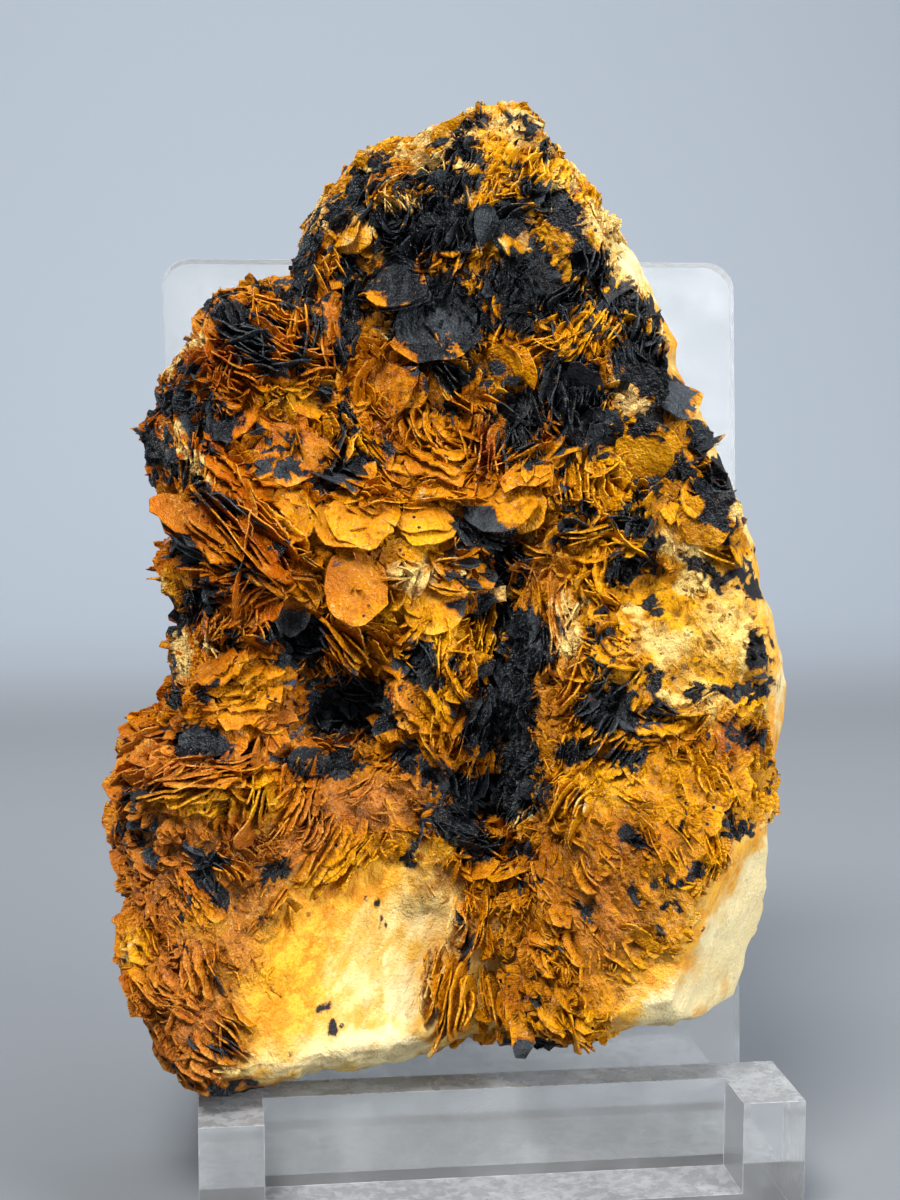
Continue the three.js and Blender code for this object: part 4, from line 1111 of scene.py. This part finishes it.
def leaf_out(books, draw):
    """The single blades of a list of books, with the place, turn and size of each."""
    counts = books["count"].astype(int)
    of = np.repeat(np.arange(len(counts)), counts)
    nth = np.concatenate([np.arange(count) for count in counts])
    middle = (counts[of] - 1) / 2
    off = nth - middle
    total = len(of)
    loose = np.where((books["shape"][of] == DISC) | (books["shape"][of] == PETAL), 0.35, 1)
    astray = draw.normal(0, ASTRAY_DEGREES, total) * (draw.uniform(0, 1, total) < ASTRAY_SHARE)
    along = np.radians(books["along"][of] + loose * (wander(of, 4.5, draw) + astray))
    lie = np.radians(books["lie"][of] + off * books["fan"][of] + loose * wander(of, 5.5, draw))
    out = books["outward"][of]
    line = np.column_stack([np.cos(along), np.zeros(total), np.sin(along)])
    crest = unit(line - out * (line * out).sum(axis=1)[:, None])
    across = np.cross(crest, out)
    upright = np.column_stack([-np.sin(along), np.zeros(total), np.cos(along)])
    across *= np.where((across * upright).sum(axis=1) < 0, -1, 1)[:, None]
    rise = out * np.cos(lie)[:, None] + across * np.sin(lie)[:, None]
    normal = np.cross(crest, rise)
    taper = 1 - 0.45 * np.abs(off / np.maximum(middle, 1)) ** 1.5
    width = books["width"][of] * taper * (0.85 + 0.33 * loose * draw.uniform(-1, 1, total))
    tall = books["rise"][of] * (0.55 + 0.45 * taper) * (0.9 + 0.3 * loose * draw.uniform(-1, 1, total))
    shuffle = draw.normal(0, 0.5, total)
    place = books["place"][of] + across * ((off + shuffle) * books["spacing"][of])[:, None]
    place = place + crest * (draw.uniform(-0.35, 0.35, total) * loose * width)[:, None] - out * ROOT_SINK
    turn = np.einsum("ij,njk->nik", slab_turn, np.stack([crest, rise, normal], axis=2))
    turned = np.column_stack([
        np.arctan2(turn[:, 2, 1], turn[:, 2, 2]),
        -np.arcsin(np.clip(turn[:, 2, 0], -1, 1)),
        np.arctan2(turn[:, 1, 0], turn[:, 0, 0]),
    ])
    thick = books["thick"][of] * draw.uniform(0.75, 1.3, total)
    size = np.column_stack([width, tall, thick])
    blades = {"chance": draw.uniform(0, 1, total)}
    blades.update(place=to_row(place), turned=turned, size=size)
    blades["pick"] = books["shape"][of] * SHAPES_EACH + draw.integers(0, SHAPES_EACH, total)
    blades["region"] = books["region"][of]
    reach = place + rise * tall[:, None]
    tips = to_row(reach)
    lowest = np.minimum(tips[:, 2], blades["place"][:, 2])
    keep = lowest > LEDGE_HEIGHT + SEAT_GAP + BAR_CLEARANCE
    back = easel_middle[1] + BACK_FACE_AT_LEDGE + (tips[:, 2] - LEDGE_HEIGHT) * math.tan(LEAN)
    keep &= tips[:, 1] < back - BACK_CLEARANCE
    keep &= ~((np.abs(place[:, 0] - HEEL[0]) < HEEL[1]) & (place[:, 2] < HEEL[2]))
    corners = reach + crest * (np.array([-0.4, 0, 0.4])[:, None] * width)[:, :, None]
    beyond = -inside_rim(corners[:, :, 0], corners[:, :, 2]).min(axis=0)
    keep &= beyond < np.where(reach[:, 0] > LEFT_EDGE, PAST_RIM, PAST_LEFT)
    keep &= pale_rim(place[:, 0], place[:, 2]) < draw.uniform(0.3, 0.9, total)
    keep &= pale_rim(reach[:, 0], reach[:, 2]) < 0.3 + 0.9 * blades["chance"]
    on_view = seen(to_row(place))
    clean = np.maximum(pale_corner(*on_view), patches(CLEAN_GROUND, *on_view))
    keep &= clean < draw.uniform(0.2, 0.6, total)
    low = patches(LOW_GROUND, *on_view)
    keep &= (low < draw.uniform(0.1, 1.1, total)) | (books["shape"][of] == FLAKE)
    keep &= (low < 0.5) | (books["shape"][of] != PETAL)
    return {key: value[keep] for key, value in blades.items()}


def face_normals(x, z, step=1.2):
    """Which way the face looks at each place, on its broad forms alone."""
    slope_x = (front_depth(x + step, z) - front_depth(x - step, z)) / (2 * step)
    slope_z = (front_depth(x, z + step) - front_depth(x, z - step)) / (2 * step)
    slopes = np.clip([slope_x, slope_z], -STEEPEST, STEEPEST)
    return unit(np.column_stack([slopes[0], -np.ones(len(x)), slopes[1]]))


draw = np.random.default_rng(BOOK_SEED)
regions = list(CRESTS)
placed = {
    name: [(*on_face(across, down), *shape) for across, down, *shape in rows]
    for name, rows in CRESTS.items()
}
placed["heart"] = HEART_PLATES + placed["heart"]
placed["right_flank"] += PALE_PLATES
crests = np.array([row for rows in placed.values() for row in rows], dtype=float)
crest_region = np.array([regions.index(name) for name, rows in placed.items() for row in rows])

# The main crests themselves: discs where they lie flat, long leaves where they stand edge-on,
# and the leaves smaller on low ground.
flat = np.abs(crests[:, 3]) > FLAT_LIE
crest_place = np.column_stack([crests[:, 0], front_depth(crests[:, 0], crests[:, 1]), crests[:, 1]])
low = patches(LOW_GROUND, *seen(to_row(crest_place)))
crest_outward = face_normals(crests[:, 0], crests[:, 1])
main = {
    "place": crest_place + crest_outward * (0.9 * flat)[:, None], "outward": crest_outward,
    "along": crests[:, 2], "lie": crests[:, 3] * (1 + 0.5 * low * ~flat),
    "width": crests[:, 4] * (1 - 0.45 * low),
    "rise": crests[:, 5] * np.where(flat, 1, 0.85 * (1 - 0.7 * low)),
    "count": np.ceil(np.where(flat, 2, crests[:, 6] * LEAVES_EACH)),
    "spacing": np.where(flat, FLAT_SPACING, CREST_SPACING),
    "fan": np.where(flat, 7, 3), "thick": np.full(len(crests), CREST_THICK), "region": crest_region,
    "shape": np.where(flat, PETAL, LEAF),
}

# The open faces of the flat discs, which smaller books leave clear.
down = np.sign(crests[:, 3]) * np.abs(np.sin(np.radians(crests[:, 3]))) * crests[:, 5] * 0.5
plates = np.column_stack([
    crests[:, 0] - np.sin(np.radians(crests[:, 2])) * down,
    crests[:, 1] + np.cos(np.radians(crests[:, 2])) * down,
    0.5 * np.sqrt(crests[:, 4] * crests[:, 5]),
])[flat]


# How much bladed face each point of the body's grid stands for.
grid_lines = grid.reshape(-1, AROUND, 3)
share_across = (np.roll(grid_lines, -1, axis=1) - grid_lines).reshape(-1, 3)
share_down = np.gradient(grid_lines, axis=0).reshape(-1, 3)
weight = np.linalg.norm(np.cross(share_across, share_down), axis=1) * bladed


def scattered(count, shape, width_share, rise_share, blades_each, spacing, thick, stray):
    """Smaller books all over the bladed face, each lying as the main crests near it do."""
    pick = draw.choice(len(grid), count, p=weight / weight.sum())
    place = grid[pick] + outward[pick] * (height[pick] - 0.1)[:, None]
    far = np.hypot(place[:, 0, None] - crests[:, 0], place[:, 2, None] - crests[:, 1])
    score = -(far / CREST_REACH) ** 2 + draw.gumbel(0, 1, far.shape)
    near = score.argmax(axis=1)
    chosen = crests[near]
    covered = np.hypot(place[:, 0, None] - plates[:, 0], place[:, 2, None] - plates[:, 1]) < plates[:, 2]
    low = patches(LOW_GROUND, *seen(to_row(place)))
    small = (1 - 0.4 * low) * (0.5 + 0.5 * bladed[pick])
    made = {
        "place": place, "outward": outward[pick],
        "along": chosen[:, 2] + draw.normal(0, stray, count),
        "lie": chosen[:, 3] * facing[pick] * (1 + low) + draw.normal(0, 1.4 * stray, count) * (1 + low),
        "width": chosen[:, 4] * draw.uniform(*width_share, count) * small,
        "rise": chosen[:, 5] * draw.uniform(*rise_share, count) * small * (1 - 0.25 * low),
        "count": draw.integers(*blades_each, count),
        "spacing": np.full(count, spacing), "fan": draw.uniform(1, 8, count),
        "thick": np.full(count, thick), "region": crest_region[near],
        "shape": np.full(count, shape),
    }
    bare = ~covered.any(axis=1) | (stray > 40)
    return {key: value[bare] for key, value in made.items()}


# Scattered books: how many, shape, width and rise as shares of the near crest's, blades in each,
# their spacing and thickness, and how far they stray in degrees.
books = [
    main,
    scattered(620, DISC, (0.5, 1.0), (0.5, 0.95), (1, 3), 0.7, 5.5, 26),
    scattered(1300, BLADE, (0.35, 0.9), (0.4, 0.9), (3, 8), 0.34, 4.8, 22),
    scattered(2400, FLAKE, (0.22, 0.5), (0.35, 0.85), (2, 7), 0.27, 4.2, 32),
    scattered(6500, FLAKE, (0.12, 0.30), (0.2, 0.55), (1, 4), 0.2, 3.4, 50),
]
leaves = [leaf_out(book, draw) for book in books]
blades = {key: np.concatenate([leaf[key] for leaf in leaves]) for key in leaves[0]}

BLADE_DEEP = (0.38, 0.075, 0.0005)
BLADE_ORANGE = (0.84, 0.31, 0.001)
BLADE_MILK = (0.88, 0.66, 0.23)
BLADE_CREST_GLINT = (0.90, 0.54, 0.07)
BLADE_ROOT_SHADE = (0.14, 0.028, 0.001)
BLADE_GRAIN = (0.34, 0.075, 0.001)
BLADE_PIT = (0.24, 0.045, 0.001)
BLADE_SUGAR = (0.90, 0.55, 0.20)
BLADE_HALO = (0.17, 0.03, 0.001)
COAT_BLACK = (0.006, 0.007, 0.009)
COAT_GREY = (0.020, 0.024, 0.028)
COAT_SHEEN = (0.05, 0.06, 0.07)
COAT_CREST_GLINT = (0.09, 0.09, 0.085)
crested = Finish("crested_barite", Specular_IOR_Level=0.2)
crest = crested.attribute("crest")
chance = crested.attribute("chance")
cloud = crested.noise(2.8, 4)
fine = crested.noise(0.7, 1)
# Fibres run from the root of a blade to its crest.
across = crested.attribute("side") * 9 + chance * 91
fibre_place = crested.node("ShaderNodeCombineXYZ", {}, {0: across, 1: crest * 0.8, 2: chance * 37})
fibres = crested.node("ShaderNodeTexNoise", {}, {"Vector": fibre_place, "Scale": 1.0, "Detail": 2})
tone = (cloud * 0.6 + fibres * 0.3 + chance * 0.35 - 0.12).between(0.25, 0.85)
colour = crested.mix(tone, BLADE_DEEP, BLADE_ORANGE)
colour = crested.mix(crested.attribute("ripe") * 0.8, colour, HONEY)
colour = stained(crested, colour)
milk = (crested.attribute("milk") + fine * 0.5 - 0.25).between(0.25, 0.8)
colour = crested.mix(milk, colour, BLADE_MILK)
# Painted highlight: paler along the blades' crests, where their edges catch the light.
crest_glint = crest.between(0.75, 1.0) * crested.noise(1.5, 2).between(0.42, 0.62)
colour = crested.mix(crest_glint * 0.45, colour, BLADE_CREST_GLINT)
# Painted shade: the blades darker towards their roots, where the ones beside them shade them.
colour = crested.mix((1 - crest) ** 1.8 * 0.55, colour, BLADE_ROOT_SHADE)
# A sugary crust of fine grains, dark and light.
grains = crested.noise(0.32, 2, 0.7)
pits = crested.noise(0.85, 2, 0.65)
colour = crested.mix(grains.between(0.42, 0.62) * 0.4, colour, BLADE_GRAIN)
colour = crested.mix((1 - pits.between(0.28, 0.48)) * 0.55, colour, BLADE_PIT)
sugar = grains.between(0.55, 0.68) * cloud.between(0.48, 0.62)
colour = crested.mix(sugar * 0.5, colour, BLADE_SUGAR)
ragged = crested.noise(1.3, 4, 0.7) * 1.1 + chance * 0.65 - 0.87
sooty = crested.attribute("soot") + ragged
colour = crested.mix(sooty.between(0.24, 0.42) * 0.7, colour, BLADE_HALO)
soot = sooty.between(0.42, 0.49)
spotted = dots(crested, 1.05, 0.17, crested.noise(5, 2).between(0.47, 0.55))
coated = soot.at_least(spotted)
coat = crested.mix(fibres.between(0.45, 0.75), COAT_BLACK, COAT_GREY)
coat = crested.mix((chance * 0.7 + cloud * 0.6).between(0.75, 0.95) * 0.6, coat, COAT_SHEEN)
# Painted highlight on the crests of the black coat too.
coat = crested.mix(crest_glint * 0.5, coat, COAT_CREST_GLINT)
colour = crested.mix(coated, colour, coat)
crested.show(
    Base_Color=colour,
    Roughness=0.07 + 0.24 * fine + 0.25 * sugar,
    Normal=crested.bump(fibres + 0.9 * grains + 1.5 * pits, 0.34, 1.0),
)
tree = blade_tree(crested)
for number, name in enumerate(regions):
    chosen = blades["region"] == number
    piece = set_blades(f"{name}_blades", tree, {key: value[chosen] for key, value in blades.items()})
    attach(piece, "root")
for shape in list(blade_collection.objects):
    mesh = shape.data
    bpy.data.objects.remove(shape)
    bpy.data.meshes.remove(mesh)
bpy.data.collections.remove(blade_collection)

# ---- The display easel ---------------------------------------------------------------------
# One moulding of clear acrylic: a base, a front bar between two end blocks, and a leaning back.

EDGE_RADIUS = 0.35
FLAT_ANGLE = math.radians(1)
SHARP_ANGLE = math.radians(30)
ACRYLIC_TINT = (0.94, 0.96, 0.97, 1)
FROST_TINT = (0.88, 0.92, 0.96, 1)
LEVEL_RUB = 0.3
FACES_UP = 0.7
acrylic = Finish("clear_acrylic", Roughness=0.05, IOR=1.49, Transmission_Weight=0.9)
acrylic.surface.inputs["Base Color"].default_value = ACRYLIC_TINT
smears = 0.03 + 0.12 * acrylic.noise(2.2, 5, 0.7)
acrylic.show(Roughness=smears, Normal=acrylic.bump(acrylic.noise(9, 2), 0.05, 0.3))
# Handling has frosted it a little everywhere and a lot along its edges.
frosted = {"Base Color": FROST_TINT, "Roughness": 0.45}
frost = acrylic.node("ShaderNodeBsdfPrincipled", {}, frosted)
rubbed = acrylic.attribute("edge") * (0.4 + 0.6 * acrylic.noise(1.6, 3, 0.7).between(0.4, 0.6))
scuffed = acrylic.noise(7, 4, 0.6).between(0.4, 0.9) * 0.16
bare_face = Level(acrylic, acrylic.surface.outputs[0])
both = acrylic.node("ShaderNodeMixShader", {}, {0: 0.05 + scuffed + 0.6 * rubbed, 1: bare_face, 2: frost})
acrylic.feed(acrylic.tree.nodes["Material Output"].inputs["Surface"], both)
moulding = bmesh.new()
moulding.from_mesh(frame["nodes"]["display_stand"].data)
moulding.transform(frame["nodes"]["display_stand"].matrix_world)
bmesh.ops.remove_doubles(moulding, verts=moulding.verts, dist=1e-6)
bmesh.ops.dissolve_limit(moulding, angle_limit=FLAT_ANGLE, verts=moulding.verts, edges=moulding.edges)
sharp = [edge for edge in moulding.edges if edge.is_manifold and edge.calc_face_angle() > SHARP_ANGLE]
rounded = bmesh.ops.bevel(
    moulding, geom=sharp, offset=EDGE_RADIUS * MM, segments=3, profile=0.5, affect="EDGES",
    clamp_overlap=True,
)
for face in moulding.faces:
    face.smooth = False
for face in rounded["faces"]:
    face.smooth = True
easel_mesh = bpy.data.meshes.new("display_easel")
moulding.to_mesh(easel_mesh)
moulding.free()
edge_faces = [
    1 if face.use_smooth else LEVEL_RUB * (face.normal.z > FACES_UP) for face in easel_mesh.polygons
]
easel_mesh.attributes.new("edge", "FLOAT", "FACE").data.foreach_set("value", edge_faces)
easel = bpy.data.objects.new("display_easel", easel_mesh)
bpy.context.scene.collection.objects.link(easel)
easel_mesh.materials.append(acrylic.material)
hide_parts("display_stand")
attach(easel, "root")

# ---- Floor, light and camera ---------------------------------------------------------------
# A pale floor that sweeps up behind, four soft boxes and a pale room.

SWEEP_RADIUS = 0.25
FLOOR_DEPTH = 0.42
FLOOR_HALF_WIDTH = 1.6
FLOOR_FRONT = -1.2
WALL_TOP = 1.6
SWEEP_STEPS = 16
SHADED_NEAR_PAPER = (0.172, 0.186, 0.204)
LIT_FAR_PAPER = (0.36, 0.40, 0.455)
ROOM_LIGHT = (0.62, 0.68, 0.75, 1)
profile = [(FLOOR_FRONT, 0.0), (FLOOR_DEPTH, 0.0)]
for step in range(1, SWEEP_STEPS + 1):
    angle = step / SWEEP_STEPS * math.pi / 2
    profile.append((FLOOR_DEPTH + SWEEP_RADIUS * math.sin(angle), SWEEP_RADIUS * (1 - math.cos(angle))))
profile.append((FLOOR_DEPTH + SWEEP_RADIUS, WALL_TOP))
points = [(side * FLOOR_HALF_WIDTH, y, z) for y, z in profile for side in (-1, 1)]
faces = [(2 * i, 2 * i + 1, 2 * i + 3, 2 * i + 2) for i in range(len(profile) - 1)]
floor_mesh = bpy.data.meshes.new("floor")
floor_mesh.from_pydata(points, [], faces)
floor_mesh.shade_smooth()
floor = bpy.data.objects.new("floor", floor_mesh)
bpy.context.scene.collection.objects.link(floor)
paper = Finish("pale_paper", Roughness=0.85)
depth = paper.node("ShaderNodeSeparateXYZ", {}, {0: paper.place}, 1)
# Painted shade and light: the paper darker on the near floor and paler up the sweep behind it.
paper.show(Base_Color=paper.mix(depth.between(0.25, 0.46), SHADED_NEAR_PAPER, LIT_FAR_PAPER))
floor_mesh.materials.append(paper.material)


def soft_box(name, place, aim, size, power, colour):
    """A rectangular lamp that points at its aim, all in metres and watts."""
    light = bpy.data.lights.new(name, "AREA")
    light.shape = "RECTANGLE"
    light.size, light.size_y = size
    light.energy = power
    light.color = colour
    lamp = bpy.data.objects.new(name, light)
    lamp.location = place
    ray = mathutils.Vector(aim) - mathutils.Vector(place)
    lamp.rotation_euler = ray.to_track_quat("-Z", "Y").to_euler()
    bpy.context.scene.collection.objects.link(lamp)


WARM = (1.0, 0.985, 0.96)
COOL = (0.97, 0.98, 1.0)
SKY = (0.97, 0.985, 1.0)
soft_box("key", place=(-0.16, -0.34, 0.52), aim=(0, 0, 0.06), size=(0.20, 0.16), power=5.4, colour=WARM)
soft_box("fill", place=(0.40, -0.35, 0.22), aim=(0, 0, 0.05), size=(0.25, 0.25), power=3.1, colour=COOL)
soft_box("backdrop", place=(0, 0.10, 0.35), aim=(0, 0.75, 0.12), size=(0.8, 0.3), power=1.9, colour=SKY)
soft_box("top", place=(0.1, 0.08, 0.6), aim=(0, 0, 0.05), size=(0.4, 0.3), power=1.8, colour=COOL)

world = bpy.data.worlds.new("room")
world.use_nodes = True
world.node_tree.nodes["Background"].inputs["Color"].default_value = ROOM_LIGHT
world.node_tree.nodes["Background"].inputs["Strength"].default_value = 0.25
bpy.context.scene.world = world
bpy.context.scene.view_settings.view_transform = "Standard"

FOCAL_LENGTH = 58.5
camera_data = bpy.data.cameras.new("camera")
camera_data.lens = FOCAL_LENGTH
camera_data.clip_start = 0.01
camera = bpy.data.objects.new("camera", camera_data)
camera.location = (view_aim + view_back * VIEW_DISTANCE) * MM
camera.rotation_euler = mathutils.Vector(-view_back).to_track_quat("-Z", "Y").to_euler()
bpy.context.scene.collection.objects.link(camera)
bpy.context.scene.camera = camera
